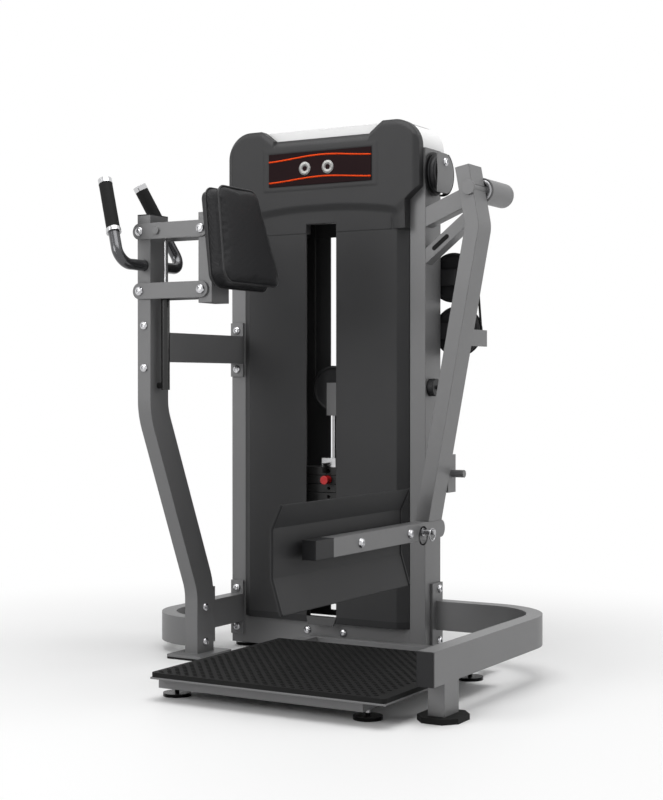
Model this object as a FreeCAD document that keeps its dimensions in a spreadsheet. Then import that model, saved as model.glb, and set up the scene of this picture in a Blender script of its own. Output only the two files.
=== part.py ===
import FreeCAD, Part
import math
import os
import re
import Sketcher

# Driving dimensions in millimetres: x across the tower, y towards the rear, z up from the floor
SIZES = dict(
    tower_width=676, upright_width=50, upright_depth=100, upright_top=1510, wall=3,
    ground_gap=14, beam_width=45, beam_height=85, plate_thick=8, running_gap=0.3,
    base_beam_top=99, top_beam_bottom=1425, bolt_radius=11, bolt_head=6, bolt_shank=5,
    post_depth=85, post_front=486, post_top=1301, post_kink_high=740, post_kink_low=210,
    post_base_rear=170, upper_beam_bottom=884, lower_beam_bottom=81, flange_margin=41,
    flange_bolt_margin=18, post_plate_length=165, post_plate_width=120,
    rail_reach=393, rail_top=180, rail_front=735, rail_bend=180, rail_flange_height=190,
    left_reach=198, left_top=115, left_setback=58, left_bend=165,
    leg_length=80, leg_front=680, rubber_foot_length=130, rubber_foot_width=112,
    mat_left=42, mat_right=645, mat_front=824, mat_rear=197, mat_top=75, mat_thick=12,
    deck_thick=5, deck_tube=35, deck_tube_height=30, deck_tube_left=27, deck_tube_right=546,
    deck_front_margin=40, deck_foot_front=727, deck_foot_rear=138,
    foot_radius=37, foot_thick=9, stud_radius=6,
    shroud_depth=25, shroud_slant=31, shroud_wall=4, slot_half=52, slot_bottom=118,
    shroud_top=1275, shroud_bottom=100,
    head_half=331, head_depth=38, head_top=1595, head_radius=80, head_wide=1398,
    head_narrow=1360, notch_half=168, notch_slope=42, notch_drop=32, head_slot_top=1303,
    placard_half=178, placard_bottom=1421, placard_height=99, placard_thick=2,
    cap_depth=136, cap_wall=4,
    guide_offset=110, guide_radius=10, stack_half=150, stack_front=20, stack_depth=70,
    plate_pitch=26, plate_gap=1.5, stack_top=569, lower_count=14, cushion_radius=22,
    stem_radius=12, pin_radius=5, knob_radius=13, knob_length=26,
    lanyard_radius=1.6, lanyard_coil=7, lanyard_turns=7, lanyard_pitch=4.3,
    float_level=806, float_radius=70, pulley_thick=24, belt_radius=3.5,
    crown_radius=30, crown_level=1385, axle_radius=6,
    side_radius=74, side_gap=32, side_high=1136, side_low=977, side_rear=130,
    guard_radius=64, guard_level=1437, guard_reach=14, guard_thick=16,
    pivot_x=518, pivot_level=1372, pivot_shaft=14, housing_radius=36, housing_length=145,
    housing_bore=24, bearing_width=18,
    boom_height=57, boom_depth=45, boom_start=1278, brace_height=45, brace_start=1170,
    arm_width=43, arm_depth=85, arm_front=90, arm_lean=10.6, arm_turn=21.3,
    arm_below=975, arm_knee=102, arm_above=171, arm_shift=30,
    bar_height=50, bar_width=40, bar_front=672, bar_level=402, bar_x=372, plug_length=45,
    panel_front=833, panel_rear=144, panel_high=523, panel_low=250, panel_thick=5,
    panel_bend=28, panel_flat_half=62, panel_gap=18,
    pull_pin_radius=8, pull_pin_length=40, ring_radius=17, ring_wire=1.8,
    link_length=212.5, link_height=46, link_thick=6, link_high=1255, link_low=1085,
    link_pin_x=327.6, link_pin_radius=8, column_bottom=1047, column_top=1300,
    pad_low=1078, pad_high=1366, pad_low_half=142, pad_high_half=105, pad_thick=52,
    pad_board=12, pad_tilt=11.7, pad_x=50, pad_y=430, pad_corner=40,
    gas_x=268, gas_rod=4, gas_tube=12.5, gas_bottom=803, gas_split=1100, gas_inside=100,
    handle_level=1158, handle_radius=16, handle_front=600, handle_rear=296,
    handle_bend=38, grip_length=150, grip_radius=19.5, collar_length=12,
    grip_lean=78, grip_inward=52, grip_rise=180, handle_rise=52,
    knob_level=810, star_radius=26, star_depth=20, peg_level=560, peg_radius=11,
    peg_length=40, peg_arm=68, peg_plate_height=110, peg_plate_width=50,
    anchor_level=954, anchor_height=48, anchor_reach=45,
)

doc = FreeCAD.newDocument("glute_kickback_machine")
sheet = doc.addObject("Spreadsheet::Sheet", "sizes")
for row, (name, value) in enumerate(SIZES.items(), 1):
    sheet.set(f"A{row}", name)
    sheet.set(f"B{row}", str(value))
    sheet.setAlias(f"B{row}", name)
doc.recompute()
WORDS = re.compile("[a-z_]{3,}")
finished = []


def linked(text):
    """Writes each named size in a formula as a cell of the sheet."""
    return WORDS.sub(lambda m: "sizes." + m.group(0) if m.group(0) in SIZES else m.group(0), str(text))


def bind(thing, prop, text):
    thing.setExpression(prop, linked(text))


def number(text):
    """Works out a formula of named sizes."""
    found = sheet.evalExpression(linked(text))
    return float(getattr(found, "Value", found))


def place(thing, x, y, z):
    for axis, text in zip("xyz", (x, y, z)):
        bind(thing, "Placement.Base." + axis, text)


def box(x, y, z):
    """A block between two formulas along each axis."""
    thing = doc.addObject("Part::Box", "block")
    place(thing, x[0], y[0], z[0])
    for prop, (low, high) in zip(("Length", "Width", "Height"), (x, y, z)):
        bind(thing, prop, f"({high}) - ({low})")
    return thing


TURNS = {"X": FreeCAD.Rotation(FreeCAD.Vector(0, 1, 0), 90),
         "Y": FreeCAD.Rotation(FreeCAD.Vector(1, 0, 0), -90), "Z": FreeCAD.Rotation()}


def rod(axis, start, radius, length):
    """A round bar from a start point along an axis."""
    thing = doc.addObject("Part::Cylinder", "round")
    thing.Placement = FreeCAD.Placement(FreeCAD.Vector(), TURNS[axis])
    place(thing, *start)
    bind(thing, "Radius", radius)
    bind(thing, "Height", length)
    return thing


def joined(things):
    if len(things) == 1:
        return things[0]
    thing = doc.addObject("Part::MultiFuse", "joined")
    thing.Shapes = things
    return thing


def without(base, tools):
    thing = doc.addObject("Part::Cut", "opened")
    thing.Base = base
    thing.Tool = joined(tools)
    return thing


def group(things):
    thing = doc.addObject("Part::Compound", "group")
    thing.Links = things
    return thing


def keep(label, thing):
    thing.Label = label
    finished.append(thing)
    return thing


def tube(x, y, z, along):
    """A rectangular tube with open ends, made as one block less its bore."""
    inner = [(f"{low} + wall", f"{high} - wall") for low, high in (x, y, z)]
    place_of = "XYZ".index(along)
    inner[place_of] = (f"{(x, y, z)[place_of][0]} - wall", f"{(x, y, z)[place_of][1]} + wall")
    return without(box(x, y, z), [box(*inner)])


def origin_plane(body, role):
    return [f for f in body.Origin.OriginFeatures if f.Role == role + "_Plane"][0]


def outline(body, role, points, offset):
    """A closed sketch whose every corner is tied to the sheet."""
    sketch = body.newObject("Sketcher::SketchObject", "outline")
    sketch.AttachmentSupport = [(origin_plane(body, role), "")]
    sketch.MapMode = "FlatFace"
    bind(sketch, "AttachmentOffset.Base.z", offset)
    spots = [FreeCAD.Vector(number(u), number(v), 0) for u, v in points]
    for i, spot in enumerate(spots):
        sketch.addGeometry(Part.LineSegment(spot, spots[(i + 1) % len(spots)]))
    for i in range(len(spots)):
        sketch.addConstraint(Sketcher.Constraint("Coincident", i, 2, (i + 1) % len(spots), 1))
    for i, (u, v) in enumerate(points):
        for kind, text, where in (("DistanceX", u, spots[i].x), ("DistanceY", v, spots[i].y)):
            count = sketch.addConstraint(Sketcher.Constraint(kind, -1, 1, i, 1, where))
            sketch.setExpression(f"Constraints[{count}]", linked(text))
    return sketch


def slab(role, points, offset, length, rounds=()):
    """A body padded from an outline, with chosen long edges rounded."""
    body = doc.addObject("PartDesign::Body", "body")
    pad = body.newObject("PartDesign::Pad", "pad")
    pad.Profile = outline(body, role, points, offset)
    bind(pad, "Length", length)
    doc.recompute()
    for corners, radius in rounds:
        names = []
        spots = [(number(points[c][0]), number(points[c][1])) for c in corners]
        pick = {"XY": (0, 1), "XZ": (0, 2), "YZ": (1, 2)}[role]
        for i, edge in enumerate(body.Tip.Shape.Edges, 1):
            ends = [v.Point for v in edge.Vertexes]
            same = len(ends) == 2 and all(
                abs(ends[0][k] - ends[1][k]) < 1e-6 for k in pick)
            if same and any(math.hypot(ends[0][pick[0]] - u, ends[0][pick[1]] - v) < 1e-3
                            for u, v in spots):
                names.append(f"Edge{i}")
        fillet = body.newObject("PartDesign::Fillet", "rounding")
        fillet.Base = (body.Tip if body.Tip != fillet else pad, names)
        bind(fillet, "Radius", radius)
        doc.recompute()
    return body


def bent_tube(path_role, path, profile_role, centre, size, offset):
    """A hollow rectangular tube carried along a path of lines and arcs."""
    body = doc.addObject("PartDesign::Body", "body")
    route = body.newObject("Sketcher::SketchObject", "route")
    route.AttachmentSupport = [(origin_plane(body, path_role), "")]
    route.MapMode = "FlatFace"
    bind(route, "AttachmentOffset.Base.z", offset)
    spots = [FreeCAD.Vector(number(u), number(v), 0) for u, v, r in path]
    last = spots[0]
    for i in range(1, len(spots) - 1):
        back = (spots[i - 1] - spots[i]).normalize()
        ahead = (spots[i + 1] - spots[i]).normalize()
        half = back.getAngle(ahead) / 2
        radius = number(path[i][2])
        reach = radius / math.tan(half)
        enter = spots[i] + back * reach
        leave = spots[i] + ahead * reach
        hub = spots[i] + (back + ahead).normalize() * (radius / math.sin(half))
        middle = hub + (spots[i] - hub).normalize() * radius
        route.addGeometry(Part.LineSegment(last, enter))
        route.addGeometry(Part.Arc(enter, middle, leave))
        last = leave
    route.addGeometry(Part.LineSegment(last, spots[-1]))
    section = body.newObject("Sketcher::SketchObject", "section")
    section.AttachmentSupport = [(origin_plane(body, profile_role), "")]
    section.MapMode = "FlatFace"
    bind(section, "AttachmentOffset.Base.z", centre[2])
    u, v = number(centre[0]), number(centre[1])
    for inset in (0, number("wall")):
        a, b = number(size[0]) / 2 - inset, number(size[1]) / 2 - inset
        corners = [FreeCAD.Vector(u + s * a, v + w * b, 0) for s, w in ((-1, -1), (1, -1), (1, 1), (-1, 1))]
        for i in range(4):
            section.addGeometry(Part.LineSegment(corners[i], corners[(i + 1) % 4]))
    doc.recompute()
    pipe = body.newObject("PartDesign::AdditivePipe", "pipe")
    pipe.Profile = section
    pipe.Spine = (route, [])
    doc.recompute()
    return body


def bolts(axis, spots, outward, radius="bolt_radius"):
    """Domed heads with short shanks, all pointing the same way."""
    made = []
    for x, y, z in spots:
        start = [x, y, z]
        if outward < 0:
            start["XYZ".index(axis)] += " - bolt_head"
        made.append(rod(axis, start, radius, "bolt_head"))
    return made

# Tower: two uprights on the floor, tied by a base beam and a top beam
HALF = "tower_width / 2"
INNER = "tower_width / 2 - upright_width"
for label, side in (("upright_right", (INNER, HALF)), ("upright_left", (f"-{HALF}", f"-({INNER})"))):
    sole = box(side, ("0", "upright_depth"), ("ground_gap", "ground_gap + wall"))
    keep(label, joined([tube(side, ("0", "upright_depth"), ("ground_gap", "upright_top"), "Z"), sole]))
SPAN = (f"-({INNER})", INNER)
keep("tower_beams", group([
    tube(SPAN, ("0", "upright_depth"), ("ground_gap", "base_beam_top"), "X"),
    tube(SPAN, ("upright_depth / 4", "upright_depth * 3 / 4"), ("top_beam_bottom", "upright_top"), "X")]))

# Front post: a kinked tube standing on its own plate, tied back to the tower
POST_X = "-tower_width / 2 + beam_width / 2"
POST_LEFT = "-tower_width / 2"
POST_RIGHT = "-tower_width / 2 + beam_width"
POST_Y = "-post_front + post_depth / 2"
POST_REAR = "-post_front + post_depth"
FOOT_Y = "-post_base_rear - post_depth / 2"
post_tube = bent_tube(
    "YZ", [(FOOT_Y, "ground_gap", "0"), (FOOT_Y, "post_kink_low", "beam_height * 2"),
           (POST_Y, "post_kink_high", "beam_height * 2"), (POST_Y, "post_top", "0")],
    "XY", (POST_X, FOOT_Y, "ground_gap"), ("beam_width", "post_depth"), POST_X)
PLATE = ((f"{POST_X} - post_plate_width / 2", f"{POST_X} + post_plate_width / 2"),
         (f"{FOOT_Y} - post_plate_length / 2", f"{FOOT_Y} + post_plate_length / 2"))
post_plate = box(*PLATE, ("ground_gap - plate_thick", "ground_gap"))
post_holes = [rod("Y", (POST_X, "-post_front - wall", "handle_level"), "handle_radius + running_gap / 3",
                  "post_depth + wall * 2")]
post_holes += [rod("Y", ("-link_pin_x", "-post_front - wall", level), "link_pin_radius + running_gap / 4",
                   "post_depth + wall * 2") for level in ("link_high", "link_low")]
keep("front_post", without(joined([post_tube, post_plate]), post_holes))
post_cap = box((POST_LEFT, POST_RIGHT), ("-post_front", POST_REAR), ("post_top", "post_top + wall"))
beams = []
for start, bottom in ((POST_REAR, "upper_beam_bottom"), ("-post_base_rear", "lower_beam_bottom")):
    low, high = f"{bottom} - flange_margin", f"{bottom} + beam_height + flange_margin"
    rear_flange = box((POST_LEFT, POST_RIGHT), ("-plate_thick", "0"), (low, high))
    web = tube((POST_LEFT, POST_RIGHT), (f"{start} + plate_thick", "-plate_thick"),
               (bottom, f"{bottom} + beam_height"), "Y")
    front_flange = box((POST_LEFT, POST_RIGHT), (start, f"{start} + plate_thick"), (low, high))
    beams.append(joined([rear_flange, web, front_flange]))
keep("post_beams", group(beams))

# Side rail: a flanged beam off the right upright that bends forward and ends in a leg
RAIL_X = "tower_width / 2 + rail_reach - beam_width / 2"
RAIL_Y = "upright_depth - beam_width / 2"
RAIL_Z = "rail_top - beam_height / 2"
RAIL_START = f"{HALF} + plate_thick"
rail = bent_tube(
    "XY", [(RAIL_START, RAIL_Y, "0"), (RAIL_X, RAIL_Y, "rail_bend"), (RAIL_X, "-rail_front", "0")],
    "YZ", (RAIL_Y, RAIL_Z, RAIL_START), ("beam_width", "beam_height"), RAIL_Z)
rail_flange = box((HALF, RAIL_START), ("upright_depth - beam_width * 1.5", "upright_depth"),
                  (f"{RAIL_Z} - rail_flange_height / 2", f"{RAIL_Z} + rail_flange_height / 2"))
RAIL_SIDES = (f"{RAIL_X} - beam_width / 2", f"{RAIL_X} + beam_width / 2")
rail_leg = tube(RAIL_SIDES, ("-leg_front", "-leg_front + leg_length"), ("ground_gap", "rail_top - beam_height"), "Z")
keep("side_rail", joined([rail, rail_flange, rail_leg]))
rail_cap = box(RAIL_SIDES, ("-rail_front - wall * 2", "-rail_front"), ("rail_top - beam_height", "rail_top"))

# Left rail: a lower tube off the foot of the post that bends towards the rear
LEFT_X = "-tower_width / 2 - left_reach + beam_width / 2"
LEFT_Y = "-post_base_rear - left_setback + beam_width / 2"
LEFT_Z = "left_top - beam_height / 2"
keep("left_rail", bent_tube(
    "XY", [(POST_LEFT, LEFT_Y, "0"), (LEFT_X, LEFT_Y, "left_bend"), (LEFT_X, "upright_depth", "0")],
    "YZ", (LEFT_Y, LEFT_Z, POST_LEFT), ("beam_width", "beam_height"), LEFT_Z))
left_cap = box((f"{LEFT_X} - beam_width / 2", f"{LEFT_X} + beam_width / 2"), ("upright_depth", "upright_depth + wall * 2"),
               ("left_top - beam_height", "left_top"))
keep("tube_caps", group([post_cap, rail_cap, left_cap]))
A, B = "rubber_foot_width / 2", "rubber_foot_length / 2"
LEG_Y = "-leg_front + leg_length / 2"
hexagon = [(f"{RAIL_X} - {A} / 2", f"{LEG_Y} - {B}"), (f"{RAIL_X} + {A} / 2", f"{LEG_Y} - {B}"),
           (f"{RAIL_X} + {A}", f"{LEG_Y} - {B} / 2"), (f"{RAIL_X} + {A}", f"{LEG_Y} + {B} / 2"),
           (f"{RAIL_X} + {A} / 2", f"{LEG_Y} + {B}"), (f"{RAIL_X} - {A} / 2", f"{LEG_Y} + {B}"),
           (f"{RAIL_X} - {A}", f"{LEG_Y} + {B} / 2"), (f"{RAIL_X} - {A}", f"{LEG_Y} - {B} / 2")]
post_pad = box(*PLATE, ("0", "ground_gap - plate_thick"))
keep("rubber_feet", group([slab("XY", hexagon, "0", "ground_gap"), post_pad]))

# Step platform: a deck plate on three tubes, with a rubber mat on top
DECK = "mat_top - mat_thick - deck_thick"
TUBE_LOW = f"{DECK} - deck_tube_height"
HALF_TUBE = "deck_tube / 2"
keep("step_mat", slab("XY", [("-mat_left", "-mat_front"), ("mat_right", "-mat_front"), ("mat_right", "-mat_rear"),
                             ("-mat_left", "-mat_rear")], "mat_top - mat_thick", "mat_thick",
                      [((0, 1), "mat_thick")]))
rails = [box((f"{side} - {HALF_TUBE}", f"{side} + {HALF_TUBE}"), ("-mat_front + deck_front_margin", "-deck_tube"),
             (TUBE_LOW, DECK)) for side in ("-deck_tube_left", "deck_tube_right")]
cross = [box((f"-deck_tube_left - {HALF_TUBE}", f"deck_tube_right + {HALF_TUBE}"), (y, f"{y} + deck_tube"),
             (TUBE_LOW, DECK)) for y in ("-deck_tube", "-mat_front + deck_front_margin")]
deck = box(("-mat_left", "mat_right"), ("-mat_front", "-mat_rear"), (DECK, f"{DECK} + deck_thick"))
keep("platform_frame", joined(rails + cross + [deck]))

# Levelling feet: a rubber disc on a threaded stud under each corner
feet = []
for x, y, top in (("-deck_tube_left", "-deck_foot_front", TUBE_LOW), ("deck_tube_right", "-deck_foot_front", TUBE_LOW),
                  ("deck_tube_right", "-deck_foot_rear", TUBE_LOW),
                  (f"-{HALF} + upright_width / 2", "upright_depth / 2", "ground_gap"),
                  (f"{HALF} - upright_width / 2", "upright_depth / 2", "ground_gap"),
                  (LEFT_X, "upright_depth / 2", "left_top - beam_height")):
    feet.append(joined([rod("Z", (x, y, "0"), "foot_radius", "foot_thick"),
                        rod("Z", (x, y, "0"), "stud_radius", top)]))
keep("levelling_feet", group(feet))

# Shrouds: thin folded covers with a slot, one in front and its mirror behind
def shroud(face, outward, bottom, top):
    far = f"{face} + {outward} * shroud_depth"
    flat = f"{INNER} - shroud_slant"
    skin = [(f"-({INNER})", face), (f"-({flat})", far), (flat, far), (INNER, face),
            (f"{INNER} - shroud_wall", face), (f"{flat} - shroud_wall / 2", f"{far} - {outward} * shroud_wall"),
            (f"-({flat} - shroud_wall / 2)", f"{far} - {outward} * shroud_wall"),
            (f"-({INNER} - shroud_wall)", face)]
    return slab("XY", skin, bottom, f"{top} - ({bottom})")


for label, face, outward in (("front_shroud_sides", "0", "-1"), ("rear_shroud_sides", "upright_depth", "1")):
    slot = box(("-slot_half", "slot_half"), ("-upright_depth", "upright_depth * 2"), ("slot_bottom", "shroud_top + wall"))
    keep(label, without(shroud(face, outward, "shroud_bottom", "shroud_top"), [slot]))
keep("rear_head_cover", shroud("upright_depth", "1", "shroud_top", "upright_top"))

# Head cover: a deep shell with a dipped top edge and a recess for the placard
def head_outline(slope):
    right = [(INNER, "shroud_top"), (INNER, "head_narrow"), ("head_half", "head_wide"), ("head_half", "head_top"),
             (f"notch_half + {slope}", "head_top"), ("notch_half", "head_top - notch_drop")]
    return right + [(f"-({x})", z) for x, z in reversed(right)]


head = slab("XZ", head_outline("notch_slope"), "0", "head_depth", [((3, 8), "head_radius")])
hollow = box((f"-({INNER} - shroud_wall)", f"{INNER} - shroud_wall"), ("-head_depth + shroud_wall", "running_gap"),
             ("shroud_top - wall", "head_top - notch_drop - shroud_wall"))
mouth = box(("-slot_half", "slot_half"), ("-upright_depth", "upright_depth"), ("shroud_top - wall", "head_slot_top"))
seat = box(("-placard_half", "placard_half"), ("-head_depth - wall", "-head_depth + placard_thick"),
           ("placard_bottom", "placard_bottom + placard_height"))
keep("front_head_cover", without(head, [hollow, mouth, seat]))
keep("placard", box(("-placard_half + running_gap", "placard_half - running_gap"),
                    ("-head_depth", "-head_depth + placard_thick"),
                    ("placard_bottom + running_gap", "placard_bottom + placard_height - running_gap")))
cap = slab("XZ", [("-head_half", "upright_top"), ("head_half", "upright_top"), ("head_half", "head_top - wall"),
                  ("-head_half", "head_top - wall")], "-cap_depth - running_gap", "cap_depth",
           [((2, 3), "head_radius")])
inside = box(("-head_half + head_radius / 2", "head_half - head_radius / 2"), ("cap_wall + running_gap", "cap_depth - cap_wall"),
             ("upright_top - wall", "head_top - wall * 3"))
keep("top_cap", without(cap, [inside]))

# Weight stack: guide rods, cushions, fixed plates and the plates that the pin lifts
STACK = ("stack_front", "stack_front + stack_depth")
MID = "stack_front + stack_depth / 2"
STACK_BOTTOM = "stack_top - (lower_count + 2) * plate_pitch"
keep("guide_rods", group([rod("Z", (x, MID, "base_beam_top"), "guide_radius", "top_beam_bottom - base_beam_top")
                          for x in ("-guide_offset", "guide_offset")]))
keep("stack_cushions", group([without(rod("Z", (x, MID, "base_beam_top"), "cushion_radius", f"{STACK_BOTTOM} - base_beam_top"),
                                      [rod("Z", (x, MID, "0"), "guide_radius + running_gap", "stack_top")])
                              for x in ("-guide_offset", "guide_offset")]))


def weight_plate(level):
    block = box(("-stack_half", "stack_half"), STACK, (level, f"{level} + plate_pitch - plate_gap"))
    holes = [rod("Z", (x, MID, f"{level} - wall"), "guide_radius + running_gap", "plate_pitch + wall * 2")
             for x in ("-guide_offset", "guide_offset")]
    holes.append(rod("Z", ("0", MID, f"{level} - wall"), "stem_radius + running_gap", "plate_pitch + wall * 2"))
    pin_hole = rod("Y", ("0", "stack_front - wall", f"{level} + plate_pitch / 2 - plate_gap / 2"),
                   "pin_radius + running_gap", "stack_depth / 2 + wall")
    return without(block, holes + [pin_hole])


LOWER = int(number("lower_count"))
keep("lower_plates", group([weight_plate(f"{STACK_BOTTOM} + {i} * plate_pitch") for i in range(LOWER)]))
keep("lifted_plates", group([weight_plate(f"stack_top - {i} * plate_pitch") for i in (2, 1)]))
PIN_Z = "stack_top - plate_pitch * 1.5 - plate_gap / 2"
stem = joined([rod("Z", ("0", MID, f"{STACK_BOTTOM} + plate_pitch"), "stem_radius",
                   f"stack_top - ({STACK_BOTTOM}) - plate_pitch"),
               box(("-stem_radius * 2", "stem_radius * 2"), STACK, ("stack_top - plate_gap", "stack_top + plate_pitch")),
               rod("Z", ("0", MID, "stack_top"), "stem_radius / 2", "float_level - float_radius - wall * 4 - stack_top")])
keep("selector_stem", without(stem, [rod("Y", ("0", "stack_front", PIN_Z), "pin_radius + running_gap", "stack_depth")]))
keep("selector_pin", joined([rod("Y", ("0", "stack_front - wall", PIN_Z), "pin_radius", "stack_depth / 2 + wall"),
                             rod("Y", ("0", "stack_front - wall - knob_length", PIN_Z), "knob_radius", "knob_length")]))

# Lanyard: a coil of plastic wire that rises from the knob to the head block
def coil_path(radius, bend, tail, turns, pitch, start, wall_y):
    """A rise, a quarter bend, quarter-turn arcs of a helix and a straight tail to the wall at wall_y."""
    top = start + FreeCAD.Vector(0, bend, tail + bend)
    low, half = start + FreeCAD.Vector(0, 0, tail), math.sqrt(0.5)
    middle = start + FreeCAD.Vector(0, bend * (1 - half), tail + bend * half)
    edges = [Part.LineSegment(start, low).toShape(), Part.Arc(low, middle, top).toShape()]
    spots = []
    for i in range(turns * 8 + 1):
        turn = i * math.pi / 4
        spots.append(top + FreeCAD.Vector(radius * (math.cos(turn) - 1), radius * math.sin(turn), pitch * i / 8))
    for i in range(0, turns * 8, 2):
        edges.append(Part.Arc(spots[i], spots[i + 1], spots[i + 2]).toShape())
    end = FreeCAD.Vector(spots[-1].x, wall_y, spots[-1].z)
    return Part.Wire(edges + [Part.LineSegment(spots[-1], end).toShape()]), spots


def least_gap(spots, wire, skip):
    """The smallest distance between turns, measured on points, less the wire's thickness."""
    return min((a - b).Length for i, a in enumerate(spots) for b in spots[i + skip:]) - wire * 2


wire, coil_radius = number("lanyard_radius"), number("lanyard_coil")
knob_top = FreeCAD.Vector(0, number("stack_front - lanyard_coil - lanyard_radius * 3 - lanyard_radius * 2.5"),
                          number(f"{PIN_Z} + knob_radius"))
route, turn_spots = coil_path(coil_radius, wire * 2.5, wire * 2, int(number("lanyard_turns")),
                              number("lanyard_pitch"), knob_top, number("stack_front - running_gap"))
print("lanyard gap", least_gap(turn_spots, wire, 5), "length", route.Length)
way = FreeCAD.Vector(0, 0, 1)
lanyard = doc.addObject("Part::Feature", "lanyard")
lanyard.Shape = route.makePipeShell([Part.Wire([Part.Circle(knob_top, way, wire).toShape()])], True, False)
keep("pin_lanyard", lanyard)

# Pulleys: grooved discs on axles, some in brackets
def pulley(axis, centre, radius):
    """A disc whose rim is grooved for the belt, with an axle hole."""
    at = "XYZ".index(axis)
    start = list(centre)
    start[at] = f"{centre[at]} - pulley_thick / 2"
    body = rod(axis, start, radius, "pulley_thick")
    ring = doc.addObject("Part::Torus", "groove")
    ring.Placement = FreeCAD.Placement(FreeCAD.Vector(), TURNS[axis])
    place(ring, *centre)
    bind(ring, "Radius1", f"{radius} + belt_radius / 2")
    bind(ring, "Radius2", "belt_radius * 1.6")
    start[at] = f"{centre[at]} - pulley_thick"
    return without(body, [ring, rod(axis, start, "axle_radius + running_gap / 4", "pulley_thick * 2")])


def axle(axis, centre, length):
    start = list(centre)
    start["XYZ".index(axis)] += f" - ({length}) / 2"
    return rod(axis, start, "axle_radius", length)


FLOAT = ("0", MID, "float_level")
keep("floating_pulley", pulley("Y", FLOAT, "float_radius"))
FORK = "(pulley_thick / 2 + running_gap * 4)"
fork_low = "float_level - float_radius - wall * 4"
cheeks = [box(("-axle_radius * 3", "axle_radius * 3"), pair, (fork_low, "float_level + axle_radius * 3"))
          for pair in ((f"{MID} - {FORK} - wall", f"{MID} - {FORK}"), (f"{MID} + {FORK}", f"{MID} + {FORK} + wall"))]
bridge = box(("-axle_radius * 3", "axle_radius * 3"), (f"{MID} - {FORK} - wall", f"{MID} + {FORK} + wall"),
             (fork_low, f"{fork_low} + wall"))
keep("float_fork", joined(cheeks + [bridge, axle("Y", FLOAT, f"{FORK} * 2 + wall * 2")]))
CROWNS = [("crown_radius - float_radius", MID, "crown_level"), ("float_radius - crown_radius", MID, "crown_level")]
keep("crown_pulley_left", pulley("Y", CROWNS[0], "crown_radius"))
keep("crown_pulley_right", pulley("Y", CROWNS[1], "crown_radius"))
hangers = []
for x, y, z in CROWNS:
    for side in ("-1", "1"):
        near = f"{MID} + {side} * {FORK}"
        pair = (near, f"{near} + wall") if side == "1" else (f"{near} - wall", near)
        hangers.append(box((f"{x} - axle_radius * 2", f"{x} + axle_radius * 2"), pair,
                           (f"{z} - axle_radius * 2", "top_beam_bottom")))
    hangers.append(axle("Y", (x, y, z), f"{FORK} * 2 + wall * 2"))
brackets = [joined(hangers[:3]), joined(hangers[3:])]
BELT_X = "float_radius - belt_radius / 10 + running_gap"
keep("belt_strands", group([rod("Z", (x, MID, "float_level"), "belt_radius", "crown_level - float_level")
                            for x in (f"-({BELT_X})", BELT_X)]))

# Side pulleys: two guide discs behind the arm, and a guarded disc by the upright's top
SIDE_X = (f"{HALF} + side_gap", f"{HALF} + side_gap * 1.4")
SIDE_Y = "side_rear"
SIDES = [(SIDE_X[0], SIDE_Y, "side_high"), (SIDE_X[1], SIDE_Y, "side_low")]
keep("side_pulley_high", pulley("Y", SIDES[0], "side_radius"))
keep("side_pulley_low", pulley("Y", SIDES[1], "side_radius"))
for x, y, z in SIDES:
    plate = box((INNER, f"{x} + axle_radius * 3"), ("upright_depth", "upright_depth + plate_thick"),
                (f"{z} - axle_radius * 4", f"{z} + axle_radius * 4"))
    brackets.append(joined([plate, rod("Y", (x, "upright_depth + wall", z), "axle_radius",
                                       "side_rear - upright_depth + pulley_thick")]))
GUARD = (f"{HALF} + guard_reach + guard_thick / 2", "upright_depth / 2", "guard_level")
keep("guard_pulley", pulley("X", GUARD, "guard_radius - wall * 2"))
shell = without(rod("X", (f"{HALF} + wall", GUARD[1], GUARD[2]), "guard_radius", "wall"),
                [rod("X", (HALF, GUARD[1], GUARD[2]), "axle_radius", "guard_reach")])
brackets.append(joined([shell, rod("X", (HALF, GUARD[1], GUARD[2]), "axle_radius", "guard_reach * 2.6"),
                        rod("X", (HALF, GUARD[1], GUARD[2]), "axle_radius * 2", "wall * 2")]))
keep("pulley_brackets", group(brackets))
ends = [FreeCAD.Vector(number(f"{x} + side_radius - belt_radius / 10 + running_gap * 2"), number(y), number(z))
        for x, y, z in SIDES]
side_cable = doc.addObject("Part::Feature", "side_cable")
side_cable.Shape = Part.makeCylinder(number("belt_radius"), (ends[1] - ends[0]).Length, ends[0], ends[1] - ends[0])
keep("side_cable", side_cable)

# Boom: two beams off the right upright that carry the pivot housing
PIVOT = ("pivot_x", "0", "pivot_level")
BOOM_END = "pivot_x - housing_radius * 0.5"
BOOM_TOP = "pivot_level + boom_height / 2"
BOOM_LOW = "pivot_level - boom_height / 2"
boom = [(HALF, "boom_start"), (BOOM_END, BOOM_LOW), (BOOM_END, BOOM_TOP), (HALF, "boom_start + boom_height")]
brace = [(HALF, "brace_start"), (BOOM_END, f"{BOOM_LOW} - brace_height"), (BOOM_END, BOOM_LOW),
         (HALF, "brace_start + brace_height")]
keep("boom", group([
    without(slab("XZ", outer, "-boom_depth", "boom_depth"),
            [rod("Y", ("pivot_x", "-wall", "pivot_level"), "housing_radius", "housing_length")])
    for outer in (boom, brace)]))
housing = rod("Y", PIVOT, "housing_radius", "housing_length")
bore = rod("Y", ("pivot_x", "-wall", "pivot_level"), "housing_bore + running_gap / 6", "housing_length + wall * 2")
keep("pivot_housing", without(housing, [bore]))
bearings = [without(rod("Y", ("pivot_x", y, "pivot_level"), "housing_bore", "bearing_width"),
                    [rod("Y", ("pivot_x", "-wall", "pivot_level"), "pivot_shaft + running_gap / 6", "housing_length * 2")])
            for y in ("wall", "housing_length - bearing_width - wall")]
keep("pivot_bearings", group(bearings))

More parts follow.
